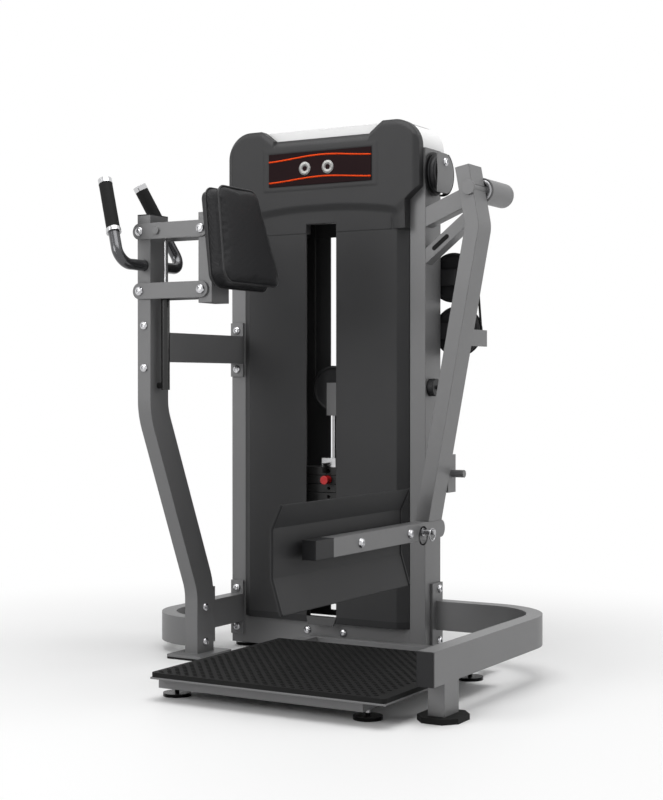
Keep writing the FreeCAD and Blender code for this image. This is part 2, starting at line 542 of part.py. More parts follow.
# Kick arm: a bent tube hung from the shaft, leaning towards the user at the bottom
ARM_REAR = "-arm_front + arm_depth"
arm = bent_tube("XZ", [("arm_shift", "-arm_below", "0"), ("arm_shift", "-arm_knee", "arm_width * 2"),
                       ("arm_shift - arm_above * sin(arm_turn)", "-arm_knee + arm_above * cos(arm_turn)", "0")],
                "XY", ("arm_shift", "-arm_front + arm_depth / 2", "-arm_below"), ("arm_width", "arm_depth"),
                "arm_front - arm_depth / 2")
arm_cut = without(arm, [rod("Y", ("0", "-arm_front - wall", "0"), "pivot_shaft + running_gap / 4", "arm_depth + wall * 2")])
tilt = FreeCAD.Rotation(FreeCAD.Vector(0, 1, 0), number("arm_lean"))
arm_cut.Placement = FreeCAD.Placement(FreeCAD.Vector(number("pivot_x"), 0, number("pivot_level")), tilt)
arm_cut.Label = "arm_tube"
below = box(("0", "pivot_x"), ("-upright_depth", "upright_depth"), ("0", "bar_level + bar_height / 2"))
anchor = box(("pivot_x - housing_radius * 1.4", "pivot_x - housing_radius * 1.4 + plate_thick"),
             (ARM_REAR, "side_rear"), ("anchor_level - anchor_height / 2", "anchor_level + anchor_height / 2"))
keep("kick_arm", joined([without(arm_cut, [below]), anchor]))
keep("arm_shaft", joined([rod("Y", ("pivot_x", "-arm_front - wall", "pivot_level"), "pivot_shaft", "arm_front + wall * 2 + housing_length"),
                          rod("Y", ("pivot_x", "-arm_front - wall * 2", "pivot_level"), "pivot_shaft * 1.5", "wall * 2"),
                          rod("Y", ("pivot_x", "housing_length + wall / 2", "pivot_level"), "housing_radius * 0.9", "wall * 2")]))

# Push bar: a tube under the arm that points at the user, with the curved push panel on it
BAR_X = ("bar_x - bar_width / 2", "bar_x + bar_width / 2")
BAR_Z = ("bar_level - bar_height / 2", "bar_level + bar_height / 2")
PLUG_END = "-bar_front + plug_length"
keep("push_bar", joined([tube(BAR_X, (PLUG_END, "-arm_front"), BAR_Z, "Y"),
                         box(BAR_X, ("-arm_front", ARM_REAR), BAR_Z),
                         rod("X", ("bar_x - bar_width / 2", ARM_REAR, "bar_level"), "bar_height / 2", "bar_width")]))
keep("bar_plug", box(BAR_X, ("-bar_front - plug_length", PLUG_END), BAR_Z))
PX = "bar_x - bar_width / 2 - panel_gap"
panel = [(PX, "bar_level - panel_flat_half"), (PX, "bar_level + panel_flat_half"), (f"{PX} + panel_bend", "panel_high"),
         (f"{PX} + panel_bend - panel_thick", "panel_high"), (f"{PX} - panel_thick", "bar_level + panel_flat_half"),
         (f"{PX} - panel_thick", "bar_level - panel_flat_half"), (f"{PX} + panel_bend - panel_thick", "panel_low"),
         (f"{PX} + panel_bend", "panel_low")]
keep("push_panel", slab("XZ", panel, "panel_rear", "panel_front - panel_rear"))
spacers = [rod("X", (PX, y, "bar_level"), "bolt_radius", "panel_gap") for y in ("-bar_front * 0.72", "-bar_front * 0.3")]
keep("panel_bolts", group(spacers + bolts("X", [("bar_x + bar_width / 2", y, "bar_level")
                                                for y in ("-bar_front * 0.72", "-bar_front * 0.3")], 1)))
PULL_Y = "-bar_front * 0.19"
pin = joined([rod("X", ("bar_x + bar_width / 2", PULL_Y, "bar_level"), "pull_pin_radius * 1.6", "wall * 2"),
              rod("X", ("bar_x + bar_width / 2", PULL_Y, "bar_level"), "pull_pin_radius", "pull_pin_length")])
pull_ring = doc.addObject("Part::Torus", "ring")
pull_ring.Placement = FreeCAD.Placement(FreeCAD.Vector(), TURNS["X"])
place(pull_ring, "bar_x + bar_width / 2 + pull_pin_length * 0.8", PULL_Y,
      "bar_level + pull_pin_radius + running_gap + ring_wire - ring_radius")
bind(pull_ring, "Radius1", "ring_radius")
bind(pull_ring, "Radius2", "ring_wire")
keep("pull_pin", group([pin, pull_ring]))

# Chest support: four link plates carry a column, its board and the cushion
PIN_L, PIN_R = "-link_pin_x", "-link_pin_x + link_length"
FRONT_LINK = ("-post_front - running_gap - link_thick", "-post_front - running_gap")
REAR_LINK = (f"{POST_REAR} + running_gap", f"{POST_REAR} + running_gap + link_thick")


def link(level, extra=()):
    plates = list(extra)
    for low, high in (FRONT_LINK, REAR_LINK):
        bar = box((PIN_L, PIN_R), (low, high), (f"{level} - link_height / 2", f"{level} + link_height / 2"))
        ends = [rod("Y", (x, low, level), "link_height / 2", "link_thick") for x in (PIN_L, PIN_R)]
        holes = [rod("Y", (x, f"{low} - wall", level), "link_pin_radius + running_gap / 4", "link_thick + wall * 2")
                 for x in (PIN_L, PIN_R)]
        plates.append(without(joined([bar] + ends), holes))
    return group(plates)


PIN_START = f"{FRONT_LINK[0]} - bolt_head"
gas_pin = rod("Y", ("-gas_x", FRONT_LINK[1], "link_high"), "link_pin_radius", "post_depth + running_gap * 2")
gas_pin_head = rod("Y", ("-gas_x", PIN_START, "link_high"), "bolt_radius", "bolt_head")
keep("upper_links", link("link_high", (gas_pin, gas_pin_head)))
keep("lower_links", link("link_low"))
PIN_LENGTH = "post_depth + (running_gap + link_thick + bolt_head) * 2"


def link_pin(x, level):
    far = f"{REAR_LINK[1]}"
    return joined([rod("Y", (x, PIN_START, level), "link_pin_radius", PIN_LENGTH),
                   rod("Y", (x, PIN_START, level), "bolt_radius", "bolt_head"),
                   rod("Y", (x, far, level), "bolt_radius", "bolt_head")])


keep("post_link_pins", group([link_pin(PIN_L, "link_high"), link_pin(PIN_L, "link_low")]))
keep("column_link_pins", group([link_pin(PIN_R, "link_high"), link_pin(PIN_R, "link_low")]))
COL = (f"{PIN_R} - link_pin_radius * 1.4", f"{PIN_R} - link_pin_radius * 1.4 + beam_width")
column = tube(COL, ("-post_front", POST_REAR), ("column_bottom", "column_top"), "Z")
pin_holes = [rod("Y", (PIN_R, "-post_front - wall", level), "link_pin_radius + running_gap / 4", "post_depth + wall * 2")
             for level in ("link_high", "link_low")]
PAD_MID = "(pad_low + pad_high) / 2"
PAD_HALF = "(pad_high - pad_low) / 2"


def pad_slab(back, thick, inset, corner):
    shape = [(f"-pad_low_half + {inset}", f"-({PAD_HALF}) + {inset}"), (f"pad_low_half - {inset}", f"-({PAD_HALF}) + {inset}"),
             (f"pad_high_half - {inset}", f"{PAD_HALF} - {inset}"), (f"-pad_high_half + {inset}", f"{PAD_HALF} - {inset}")]
    body = slab("YZ", shape, back, thick, [((0, 1, 2, 3), corner)])
    turn = FreeCAD.Rotation(FreeCAD.Vector(0, 1, 0), -number("pad_tilt"))
    body.Placement = FreeCAD.Placement(FreeCAD.Vector(-number("pad_x"), -number("pad_y"), number(PAD_MID)), turn)
    return body


keep("pad_board", pad_slab("-pad_board", "pad_board - running_gap", "plate_thick", "pad_corner - plate_thick"))
keep("chest_pad", pad_slab("0", "pad_thick", "0", "pad_corner"))
WEDGE_LOW, WEDGE_HIGH = "link_low + link_height / 2", "link_high - link_height / 2"
BACK = "-pad_x - pad_board / cos(pad_tilt) - running_gap"
wedge = [(COL[1], WEDGE_LOW), (f"{BACK} - (({WEDGE_LOW}) - {PAD_MID}) * tan(pad_tilt)", WEDGE_LOW),
         (f"{BACK} - (({WEDGE_HIGH}) - {PAD_MID}) * tan(pad_tilt)", WEDGE_HIGH), (COL[1], WEDGE_HIGH)]
wedge_block = slab("XZ", wedge, "post_front - post_depth", "post_depth")
keep("pad_column", without(joined([column, wedge_block]), pin_holes))

# Gas spring: a tube pinned to the post and a rod pinned to the upper links
GAS_Y = f"{FRONT_LINK[1]} + post_depth * 0.45"
barrel = joined([rod("Z", ("-gas_x", GAS_Y, "gas_bottom"), "gas_tube", "gas_split - gas_bottom"),
                 rod("X", (POST_RIGHT, GAS_Y, "gas_bottom + gas_tube"), "gas_tube * 0.7", "tower_width / 2 - beam_width - gas_x")])
keep("gas_tube", without(barrel, [rod("Z", ("-gas_x", GAS_Y, "gas_split - gas_inside"), "gas_rod + running_gap", "gas_inside * 2")]))
keep("gas_rod", rod("Z", ("-gas_x", GAS_Y, "gas_split - gas_inside / 2"), "gas_rod",
                    "link_high - gas_split - running_gap * 3 - link_pin_radius + gas_inside / 2"))

# Handlebar: one bent tube through the post, with a grip at each raised end
def handle_points():
    """Hand-set line of the bar from grip end to grip end, in named sizes."""
    x, z = number(POST_X), number("handle_level")
    front, rear = -number("handle_front"), -number("handle_rear")
    lean, inward, rise = number("grip_lean"), number("grip_inward"), number("grip_rise")
    lift = number("handle_rise") / rise
    whole = 1 + lift
    first = FreeCAD.Vector(x, front, z)
    second = FreeCAD.Vector(x, rear, z)
    top_front = first + FreeCAD.Vector(-lean, inward, rise) * whole
    top_rear = second + FreeCAD.Vector(-lean, -inward, rise) * whole
    return [top_front, first, second, top_rear]


def smooth_path(spots, radius):
    edges, last = [], spots[0]
    for i in range(1, len(spots) - 1):
        back = (spots[i - 1] - spots[i]).normalize()
        ahead = (spots[i + 1] - spots[i]).normalize()
        half = back.getAngle(ahead) / 2
        reach = radius / math.tan(half)
        enter, leave = spots[i] + back * reach, spots[i] + ahead * reach
        hub = spots[i] + (back + ahead).normalize() * (radius / math.sin(half))
        middle = hub + (spots[i] - hub).normalize() * radius
        edges += [Part.LineSegment(last, enter).toShape(), Part.Arc(enter, middle, leave).toShape()]
        last = leave
    return Part.Wire(edges + [Part.LineSegment(last, spots[-1]).toShape()])


spots = handle_points()
path = smooth_path(spots, number("handle_bend"))
start_way = (spots[1] - spots[0]).normalize()
ring = Part.Wire([Part.Circle(spots[0], start_way, number("handle_radius")).toShape()])
bar_shape = path.makePipeShell([ring], True, False)
handlebar = doc.addObject("Part::Feature", "handlebar")
handlebar.Shape = bar_shape
keep("handlebar", handlebar)


def sleeve(end, way, start, length, inner, outer):
    """A round sleeve over the bar, a distance from its end."""
    base = end + way * start
    solid = Part.makeCylinder(outer, length, base, way)
    return solid.cut(Part.makeCylinder(inner, length * 3, base - way * length, way)) if inner else solid


grips, collars = [], []
for end, corner in ((spots[0], spots[1]), (spots[3], spots[2])):
    way = (corner - end).normalize()
    grip, ring_length = number("grip_length"), number("collar_length")
    outer, inner = number("grip_radius"), number("handle_radius") + number("running_gap")
    grips.append(sleeve(end, way, 0, grip, inner, outer))
    collars.append(sleeve(end, way, -ring_length * 1.3, ring_length * 1.3, 0, outer * 1.04))
    collars.append(sleeve(end, way, grip, ring_length, inner, outer * 1.1))
for label, shapes in (("handle_grips", grips), ("handle_collars", collars)):
    thing = doc.addObject("Part::Feature", label)
    thing.Shape = Part.makeCompound(shapes)
    keep(label, thing)
# Small fittings on the tower's right side
keep("lock_knob", joined([rod("X", (HALF, "upright_depth / 3", "knob_level"), "star_radius", "star_depth"),
                          rod("X", (f"{HALF} + star_depth", "upright_depth / 3", "knob_level"), "stud_radius", "bolt_head")]))
PEG_X = f"{HALF} + peg_arm"
PEG_Y = "upright_depth / 4"
keep("storage_peg", joined([
    box((HALF, PEG_X), (f"{PEG_Y} - peg_plate_width / 2 + wall", f"{PEG_Y} + peg_plate_width / 2 - wall"),
        ("peg_level - beam_width / 2", "peg_level + beam_width / 2")),
    box((PEG_X, f"{PEG_X} + wall * 2"), (f"{PEG_Y} - peg_plate_width / 2", f"{PEG_Y} + peg_plate_width / 2"),
        ("peg_level - peg_plate_height / 2", "peg_level + peg_plate_height / 2")),
    rod("X", (PEG_X, PEG_Y, "peg_level"), "peg_radius", "peg_length + wall * 2")]))

# Bolts that hold the flanges, the base beam and the rail
FLANGE_X = f"{POST_X}"
frame_bolts = bolts("Y", [(FLANGE_X, "-plate_thick", z) for z in (
    "upper_beam_bottom - flange_bolt_margin", "upper_beam_bottom + beam_height + flange_bolt_margin",
    "lower_beam_bottom - flange_bolt_margin", "lower_beam_bottom + beam_height + flange_bolt_margin")], -1)
frame_bolts += bolts("Y", [(FLANGE_X, "-post_front", z) for z in (
    "upper_beam_bottom - flange_bolt_margin", "upper_beam_bottom + beam_height + flange_bolt_margin")], -1)
frame_bolts += bolts("X", [(RAIL_START, "upright_depth - beam_width / 2", z) for z in (
    f"{RAIL_Z} - rail_flange_height / 2 + flange_bolt_margin", f"{RAIL_Z} + rail_flange_height / 2 - flange_bolt_margin")], 1)
frame_bolts += bolts("Y", [(x, "0", "base_beam_top - beam_height / 2 + bolt_radius * 1.3") for x in (
    "-deck_tube * 1.8", "deck_tube * 1.8")], -1)
keep("frame_bolts", group(frame_bolts))

# Check every feature, then centre the machine over the floor and write each piece
doc.recompute()
for thing in doc.Objects:
    if "Invalid" in thing.State or "Error" in thing.State:
        raise RuntimeError(f"{thing.Name} {thing.Label} failed: {thing.State}")
bounds = FreeCAD.BoundBox()
for thing in finished:
    shape = thing.Shape
    if shape.isNull() or not shape.isValid():
        raise RuntimeError(thing.Label + " is not a valid solid")
    bounds.add(shape.BoundBox)
shift = FreeCAD.Vector(-(bounds.XMin + bounds.XMax) / 2, -(bounds.YMin + bounds.YMax) / 2, -bounds.ZMin)
print("shift", shift, "size", bounds.XLength, bounds.YLength, bounds.ZLength)
os.makedirs("parts", exist_ok=True)
for thing in finished:
    shape = thing.Shape.copy()
    shape.translate(shift)
    shape.exportStep(f"parts/{thing.Label}.step")
    print(thing.Label, len(shape.Solids), round(shape.Volume))
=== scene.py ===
import bmesh
import bpy
import math
import numpy as np
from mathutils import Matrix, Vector


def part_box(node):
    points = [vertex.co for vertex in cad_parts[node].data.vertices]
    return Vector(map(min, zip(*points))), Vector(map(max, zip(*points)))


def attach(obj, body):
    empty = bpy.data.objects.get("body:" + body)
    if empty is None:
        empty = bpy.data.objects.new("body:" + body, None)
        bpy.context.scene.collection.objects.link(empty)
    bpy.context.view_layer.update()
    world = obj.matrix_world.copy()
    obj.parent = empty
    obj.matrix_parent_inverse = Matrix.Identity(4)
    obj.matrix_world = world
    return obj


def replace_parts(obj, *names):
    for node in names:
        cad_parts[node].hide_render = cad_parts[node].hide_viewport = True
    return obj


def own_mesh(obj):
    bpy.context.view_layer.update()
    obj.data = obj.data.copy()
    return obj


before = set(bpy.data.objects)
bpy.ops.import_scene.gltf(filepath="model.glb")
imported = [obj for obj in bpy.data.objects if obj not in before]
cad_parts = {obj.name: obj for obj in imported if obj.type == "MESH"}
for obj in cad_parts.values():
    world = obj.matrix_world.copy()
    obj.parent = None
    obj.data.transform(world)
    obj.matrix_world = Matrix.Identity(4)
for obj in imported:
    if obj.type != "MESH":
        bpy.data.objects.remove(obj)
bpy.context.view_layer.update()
scene = bpy.context.scene

# Studio: a pale floor that fades to white, a white surround and soft lamps.
# The camera stands at waist height, about 30 degrees round from the step's front edge.
CAMERA_PLACE = (2.2538, -3.6974, 0.8174)
CAMERA_TURN = (math.radians(90 - 0.56), 0, math.radians(30.10))
CAMERA_LENS, SENSOR_WIDTH = 69.5, 36
camera = bpy.data.objects.new("camera", bpy.data.cameras.new("camera"))
camera.location, camera.rotation_euler = CAMERA_PLACE, CAMERA_TURN
camera.data.lens, camera.data.sensor_width = CAMERA_LENS, SENSOR_WIDTH
scene.collection.objects.link(camera)
scene.camera = camera
scene.view_settings.view_transform = "Standard"


def area_lamp(name, place, aim, size, power):
    """A square lamp that shines from place towards aim."""
    data = bpy.data.lights.new(name, "AREA")
    data.size, data.energy = size, power
    lamp = bpy.data.objects.new(name, data)
    lamp.location = place
    lamp.rotation_euler = (Vector(aim) - Vector(place)).to_track_quat("-Z", "Y").to_euler()
    scene.collection.objects.link(lamp)


MIDDLE = (0, 0, 0.8)
area_lamp("front left lamp", (-2.2, -4.2, 2.6), MIDDLE, 2.4, 88)
area_lamp("right lamp", (4.4, 2.2, 2.2), MIDDLE, 2.4, 58)
area_lamp("top lamp", (0.4, -0.6, 4.2), MIDDLE, 3.0, 105)
world = bpy.data.worlds.new("studio")
scene.world = world
world.use_nodes = True
WORLD_LIGHT = 0.36


def seen_directly(tree):
    """1 for camera, glossy and transmission rays, and 0 for light that falls on things."""
    path = tree.nodes.new("ShaderNodeLightPath")
    gloss = tree.nodes.new("ShaderNodeMath")
    gloss.operation = "MAXIMUM"
    both = tree.nodes.new("ShaderNodeMath")
    both.operation = "MAXIMUM"
    tree.links.new(path.outputs["Is Glossy Ray"], gloss.inputs[0])
    tree.links.new(path.outputs["Is Transmission Ray"], gloss.inputs[1])
    tree.links.new(path.outputs["Is Camera Ray"], both.inputs[0])
    tree.links.new(gloss.outputs[0], both.inputs[1])
    return both.outputs[0]


background = world.node_tree.nodes["Background"]
level = world.node_tree.nodes.new("ShaderNodeMapRange")
level.inputs["To Min"].default_value = WORLD_LIGHT
level.inputs["To Max"].default_value = 1.0
world.node_tree.links.new(seen_directly(world.node_tree), level.inputs["Value"])
world.node_tree.links.new(level.outputs[0], background.inputs["Strength"])
background.inputs["Color"].default_value = (1, 1, 1, 1)


def floor_mesh(reach, count):
    """A square grid of points from -reach to reach on the plane z = 0."""
    line = np.linspace(-reach, reach, count)
    x, y = np.meshgrid(line, line)
    points = np.stack([x.ravel(), y.ravel(), np.zeros(x.size)], 1)
    cell = (np.arange(count - 1)[:, None] * count + np.arange(count - 1)[None, :]).ravel()
    quads = np.stack([cell, cell + 1, cell + 1 + count, cell + count], 1)
    mesh = bpy.data.meshes.new("floor")
    mesh.from_pydata(points.tolist(), [], quads.tolist())
    return mesh


FLOOR_REACH, FLOOR_POINTS, FADE_START, FADE_END = 30.0, 9, 0.7, 2.3
PAPER_WHITE, PAPER_ROUGH = (0.90, 0.90, 0.90, 1), 0.55
floor = bpy.data.objects.new("floor", floor_mesh(FLOOR_REACH, FLOOR_POINTS))
scene.collection.objects.link(floor)
paper = bpy.data.materials.new("paper floor")
paper.use_nodes = True
tree = paper.node_tree
surface = tree.nodes["Principled BSDF"]
surface.inputs["Base Color"].default_value = PAPER_WHITE
surface.inputs["Roughness"].default_value = PAPER_ROUGH
glow = tree.nodes.new("ShaderNodeEmission")
place = tree.nodes.new("ShaderNodeTexCoord")
distance = tree.nodes.new("ShaderNodeVectorMath")
distance.operation = "LENGTH"
fade = tree.nodes.new("ShaderNodeMapRange")
fade.interpolation_type = "SMOOTHSTEP"
fade.inputs["From Min"].default_value = FADE_START
fade.inputs["From Max"].default_value = FADE_END
blend = tree.nodes.new("ShaderNodeMath")
blend.operation = "MULTIPLY"
mix = tree.nodes.new("ShaderNodeMixShader")
tree.links.new(place.outputs["Object"], distance.inputs[0])
tree.links.new(distance.outputs["Value"], fade.inputs["Value"])
tree.links.new(fade.outputs[0], blend.inputs[0])
tree.links.new(seen_directly(tree), blend.inputs[1])
tree.links.new(blend.outputs[0], mix.inputs[0])
tree.links.new(surface.outputs[0], mix.inputs[1])
tree.links.new(glow.outputs[0], mix.inputs[2])
tree.links.new(mix.outputs[0], tree.nodes["Material Output"].inputs["Surface"])
floor.data.materials.append(paper)

# Frame: welded rectangular steel tube, powder coated in satin grey.
# The coat has a fine orange peel, and its corners catch the light.
GREY, GREY_DARK = (0.168, 0.168, 0.170), (0.150, 0.150, 0.152)
BROAD_SCALE, GRAIN_DETAIL, BEVEL_SAMPLES = 6, 3, 4


def grain_group():
    """Noise on Object coordinates.

    Fine is at the given scale, Broad has a few patches a metre, and Height is for a bump.
    """
    group = bpy.data.node_groups.new("coat grain", "ShaderNodeTree")
    group.interface.new_socket(name="Scale", in_out="INPUT", socket_type="NodeSocketFloat")
    for name in ("Fine", "Broad", "Height"):
        group.interface.new_socket(name=name, in_out="OUTPUT", socket_type="NodeSocketFloat")
    inlet, outlet = group.nodes.new("NodeGroupInput"), group.nodes.new("NodeGroupOutput")
    where = group.nodes.new("ShaderNodeTexCoord")
    fine, broad = group.nodes.new("ShaderNodeTexNoise"), group.nodes.new("ShaderNodeTexNoise")
    fine.inputs["Detail"].default_value = broad.inputs["Detail"].default_value = GRAIN_DETAIL
    broad.inputs["Scale"].default_value = BROAD_SCALE
    group.links.new(where.outputs["Object"], fine.inputs["Vector"])
    group.links.new(where.outputs["Object"], broad.inputs["Vector"])
    group.links.new(inlet.outputs["Scale"], fine.inputs["Scale"])
    group.links.new(fine.outputs[0], outlet.inputs["Fine"])
    group.links.new(broad.outputs[0], outlet.inputs["Broad"])
    group.links.new(fine.outputs[0], outlet.inputs["Height"])
    return group


GRAIN = grain_group()


def finish(name, colour, second, rough, spread=0.08, scale=900, bump=0.0002, metal=0.0,
           edge=0.0015, coat=0.0, shine=0.3):
    """Drifts between two colours, with grain in its roughness and bump, and softened edges."""
    made = bpy.data.materials.new(name)
    made.use_nodes = True
    nodes, links = made.node_tree.nodes, made.node_tree.links
    shader = nodes["Principled BSDF"]
    grain = nodes.new("ShaderNodeGroup")
    grain.node_tree = GRAIN
    grain.inputs["Scale"].default_value = scale
    drift = nodes.new("ShaderNodeMix")
    drift.data_type = "RGBA"
    drift.inputs["A"].default_value = (*colour, 1)
    drift.inputs["B"].default_value = (*second, 1)
    links.new(grain.outputs["Broad"], drift.inputs["Factor"])
    links.new(drift.outputs["Result"], shader.inputs["Base Color"])
    span = nodes.new("ShaderNodeMapRange")
    span.inputs["To Min"].default_value = rough - spread
    span.inputs["To Max"].default_value = rough + spread
    links.new(grain.outputs["Fine"], span.inputs["Value"])
    links.new(span.outputs[0], shader.inputs["Roughness"])
    soft, raised = nodes.new("ShaderNodeBevel"), nodes.new("ShaderNodeBump")
    soft.samples = BEVEL_SAMPLES
    soft.inputs["Radius"].default_value = edge
    raised.inputs["Distance"].default_value = bump
    links.new(grain.outputs["Height"], raised.inputs["Height"])
    links.new(soft.outputs[0], raised.inputs["Normal"])
    links.new(raised.outputs[0], shader.inputs["Normal"])
    shader.inputs["Metallic"].default_value = metal
    shader.inputs["Coat Weight"].default_value = coat
    shader.inputs["Specular IOR Level"].default_value = shine
    return made


def dress(material, *names):
    """Puts one material on CAD nodes."""
    for name in names:
        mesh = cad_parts[name].data
        mesh.materials.clear()
        mesh.materials.append(material)


powder = finish("grey powder coat", GREY, GREY_DARK, 0.42, metal=0.15, edge=0.003, shine=0.4)
dress(powder, "upright_right", "upright_left", "tower_beams", "front_post", "post_beams",
      "side_rail", "left_rail", "boom", "pivot_housing", "kick_arm", "push_bar", "upper_links",
      "lower_links", "pad_column", "storage_peg", "float_fork", "platform_frame", "arm_shaft")

# Tube ends, rubber and small black parts: injection-moulded caps, feet, buffers and grips.
# They are matt black with a slight mould grain.
black_plastic = finish("black moulded plastic", (0.011, 0.011, 0.012), (0.015, 0.015, 0.016),
                       0.48, edge=0.004, shine=0.25)
rubber = finish("black rubber", (0.006, 0.006, 0.006), (0.010, 0.010, 0.010), 0.68, scale=500,
                bump=0.0004, edge=0.003, shine=0.14)
dress(black_plastic, "tube_caps", "bar_plug", "pulley_brackets", "lock_knob", "pad_board",
      "floating_pulley", "crown_pulley_left", "crown_pulley_right", "side_pulley_high",
      "side_pulley_low", "guard_pulley")
dress(rubber, "rubber_feet", "stack_cushions", "step_mat", "handle_grips", "belt_strands",
      "side_cable", "pin_lanyard", "chest_pad")

# Bright metal: chromed guide rods, stem and collars, turned steel pins and bushes.
# The gas spring's barrel, the handlebar and the weight plates are coated.
# The selector's knob is red plastic, and the cap on the tower is white.
chrome = finish("chrome", (0.62, 0.62, 0.63), (0.55, 0.55, 0.56), 0.12, spread=0.03,
                metal=1.0, edge=0.0008)
steel = finish("turned steel", (0.42, 0.42, 0.43), (0.36, 0.36, 0.37), 0.28, metal=1.0, edge=0.0008)
gloss_black = finish("gloss black coat", (0.006, 0.006, 0.006), (0.009, 0.009, 0.009), 0.2,
                     coat=0.4)
bar_coat = finish("dark bar coat", (0.075, 0.076, 0.08), (0.06, 0.06, 0.064), 0.2,
                  spread=0.04, metal=0.7, coat=0.5)
plate_coat = finish("black plate coat", (0.016, 0.016, 0.016), (0.024, 0.024, 0.024), 0.45,
                    edge=0.001)
dress(chrome, "guide_rods", "selector_stem", "handle_collars", "gas_rod")
dress(steel, "pivot_bearings", "post_link_pins", "column_link_pins", "pull_pin",
      "frame_bolts", "panel_bolts")
dress(gloss_black, "gas_tube")
dress(bar_coat, "handlebar")
dress(plate_coat, "lower_plates", "lifted_plates")
red_knob = finish("red knob", (0.55, 0.012, 0.014), (0.45, 0.01, 0.012), 0.25, coat=0.3, edge=0.002)
dress(red_knob, "selector_pin")
dress(finish("white cap", (0.82, 0.82, 0.82), (0.78, 0.78, 0.78), 0.4, edge=0.004), "top_cap")

# Shrouds: vacuum-formed charcoal covers in front of and behind the stack, with a darker band of
# painted shade at the foot for the shade in the recessed lower part.
# The steel levelling feet have black discs, and the push panel is moulded in dark plastic.
charcoal = finish("charcoal shroud", (0.030, 0.030, 0.031), (0.036, 0.036, 0.037), 0.5,
                  scale=1400, edge=0.004, shine=0.22)
# Painted shade: below BAND_TOP the shrouds' colour darkens, standing in for the shade in their
# recessed lower part.
BAND_TOP, RECESS_PAINTED_SHADE = 0.120, (0.020, 0.020, 0.021)
FOOT_DISC_TOP, FOOT_BLACK = 0.016, (0.008, 0.008, 0.008)


def shade_below(material, level, colour):
    """Gives a material another colour where its Object z is below the level."""
    nodes, links = material.node_tree.nodes, material.node_tree.links
    height, below = nodes.new("ShaderNodeSeparateXYZ"), nodes.new("ShaderNodeMath")
    shade, where = nodes.new("ShaderNodeMix"), nodes.new("ShaderNodeTexCoord")
    below.operation, below.inputs[1].default_value = "LESS_THAN", level
    shade.data_type = "RGBA"
    shade.inputs["B"].default_value = (*colour, 1)
    links.new(where.outputs["Object"], height.inputs[0])
    links.new(height.outputs["Z"], below.inputs[0])
    links.new(below.outputs[0], shade.inputs["Factor"])
    before = next(link.from_socket for link in links if link.to_socket.name == "Base Color")
    links.new(before, shade.inputs["A"])
    links.new(shade.outputs["Result"], nodes["Principled BSDF"].inputs["Base Color"])


shade_below(charcoal, BAND_TOP, RECESS_PAINTED_SHADE)
foot_steel = finish("foot stud steel", (0.50, 0.50, 0.51), (0.44, 0.44, 0.45), 0.28,
                    metal=1.0, edge=0.0008)
shade_below(foot_steel, FOOT_DISC_TOP, FOOT_BLACK)
dress(foot_steel, "levelling_feet")
dress(charcoal, "front_shroud_sides", "rear_shroud_sides", "rear_head_cover", "front_head_cover")
panel_plastic = finish("dark panel", (0.022, 0.022, 0.023), (0.027, 0.027, 0.028), 0.5,
                       edge=0.004, shine=0.2)
dress(panel_plastic, "push_panel")

# Head cover: a vacuum-formed charcoal shell over the top of the front shroud.
# It has a notch in its crown, a flat panel for the placard and an arched lip over the slot.
head_low, head_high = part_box("front_head_cover")
sign_low, sign_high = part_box("placard")
HEAD_X = (head_low.x + head_high.x) / 2
HEAD_BACK, HEAD_DEPTH = head_high.y, head_high.y - head_low.y
SLOT_HALF, NECK_HALF, HEAD_HALF = 0.052, 0.288, (head_high.x - head_low.x) / 2
HEAD_FOOT, MOUTH_TOP, FLARE_LOW, FLARE_TOP = head_low.z, 1.303, 1.360, 1.398
NOTCH_INNER, NOTCH_OUTER, NOTCH_FLOOR, CORNER = 0.168, 0.210, 1.563, 0.080
SIGN_X, SIGN_Z = sign_high.x - HEAD_X, (sign_low.z, sign_high.z)
SIGN_MIDDLE, WELL_MARGIN, WELL_DEPTH = sum(SIGN_Z) / 2, 0.002, 0.0352
FACE_DEPTH, PANEL_PROUD, RECESS_DEPTH = 0.0355, 0.0012, 0.010
RIM_WIDTH, RIM_DROP, CHAMFER_DROP, FLARE_DROP = 0.022, 0.010, 0.016, 0.004
ARCH_TOP, ARCH_FALL, ARCH_START, ARCH_EDGE = 1.362, 0.35, 0.02, 0.024
PANEL_SIDE, PANEL_TALL = (0.194, 0.200), (0.061, 0.066)
SLOT_COLUMNS, FLARE_COLUMNS = 12, 18
SHARE_LOW, SHARE_HIGH = 0.06, 0.94


def ramp(value, start, stop):
    """Rises smoothly from 0 at start to 1 at stop: 3 t^2 - 2 t^3."""
    t = np.clip((value - start) / (stop - start), 0, 1)
    return t * t * (3 - 2 * t)


def grid_quads(rows, columns, wrap):
    """The faces between neighbours in a grid of points; wrap joins the last column to the first."""
    across = np.arange(columns if wrap else columns - 1)
    row, column = np.meshgrid(np.arange(rows - 1), across, indexing="ij")
    here, after = row * columns + column, row * columns + (column + 1) % columns
    return np.stack([here, after, after + columns, here + columns], -1).reshape(-1, 4)


def new_piece(name, points, faces, material, body, smooth=True):
    """A mesh object from points and faces, with its material, riding on a body."""
    mesh = bpy.data.meshes.new(name)
    mesh.from_pydata(np.reshape(points, (-1, 3)).tolist(), [], [list(face) for face in faces])
    work = bmesh.new()
    work.from_mesh(mesh)
    bmesh.ops.remove_doubles(work, verts=work.verts, dist=1e-6)
    bmesh.ops.recalc_face_normals(work, faces=work.faces)
    work.to_mesh(mesh)
    work.free()
    mesh.polygons.foreach_set("use_smooth", np.full(len(mesh.polygons), smooth))
    mesh.materials.append(material)
    piece = bpy.data.objects.new(name, mesh)
    scene.collection.objects.link(piece)
    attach(piece, body)
    return piece


def head_bottom(x):
    """Height of the flare's lower edge, which rises straight from the neck to the full width."""
    return FLARE_LOW + (FLARE_TOP - FLARE_LOW) * (x - NECK_HALF) / (HEAD_HALF - NECK_HALF)


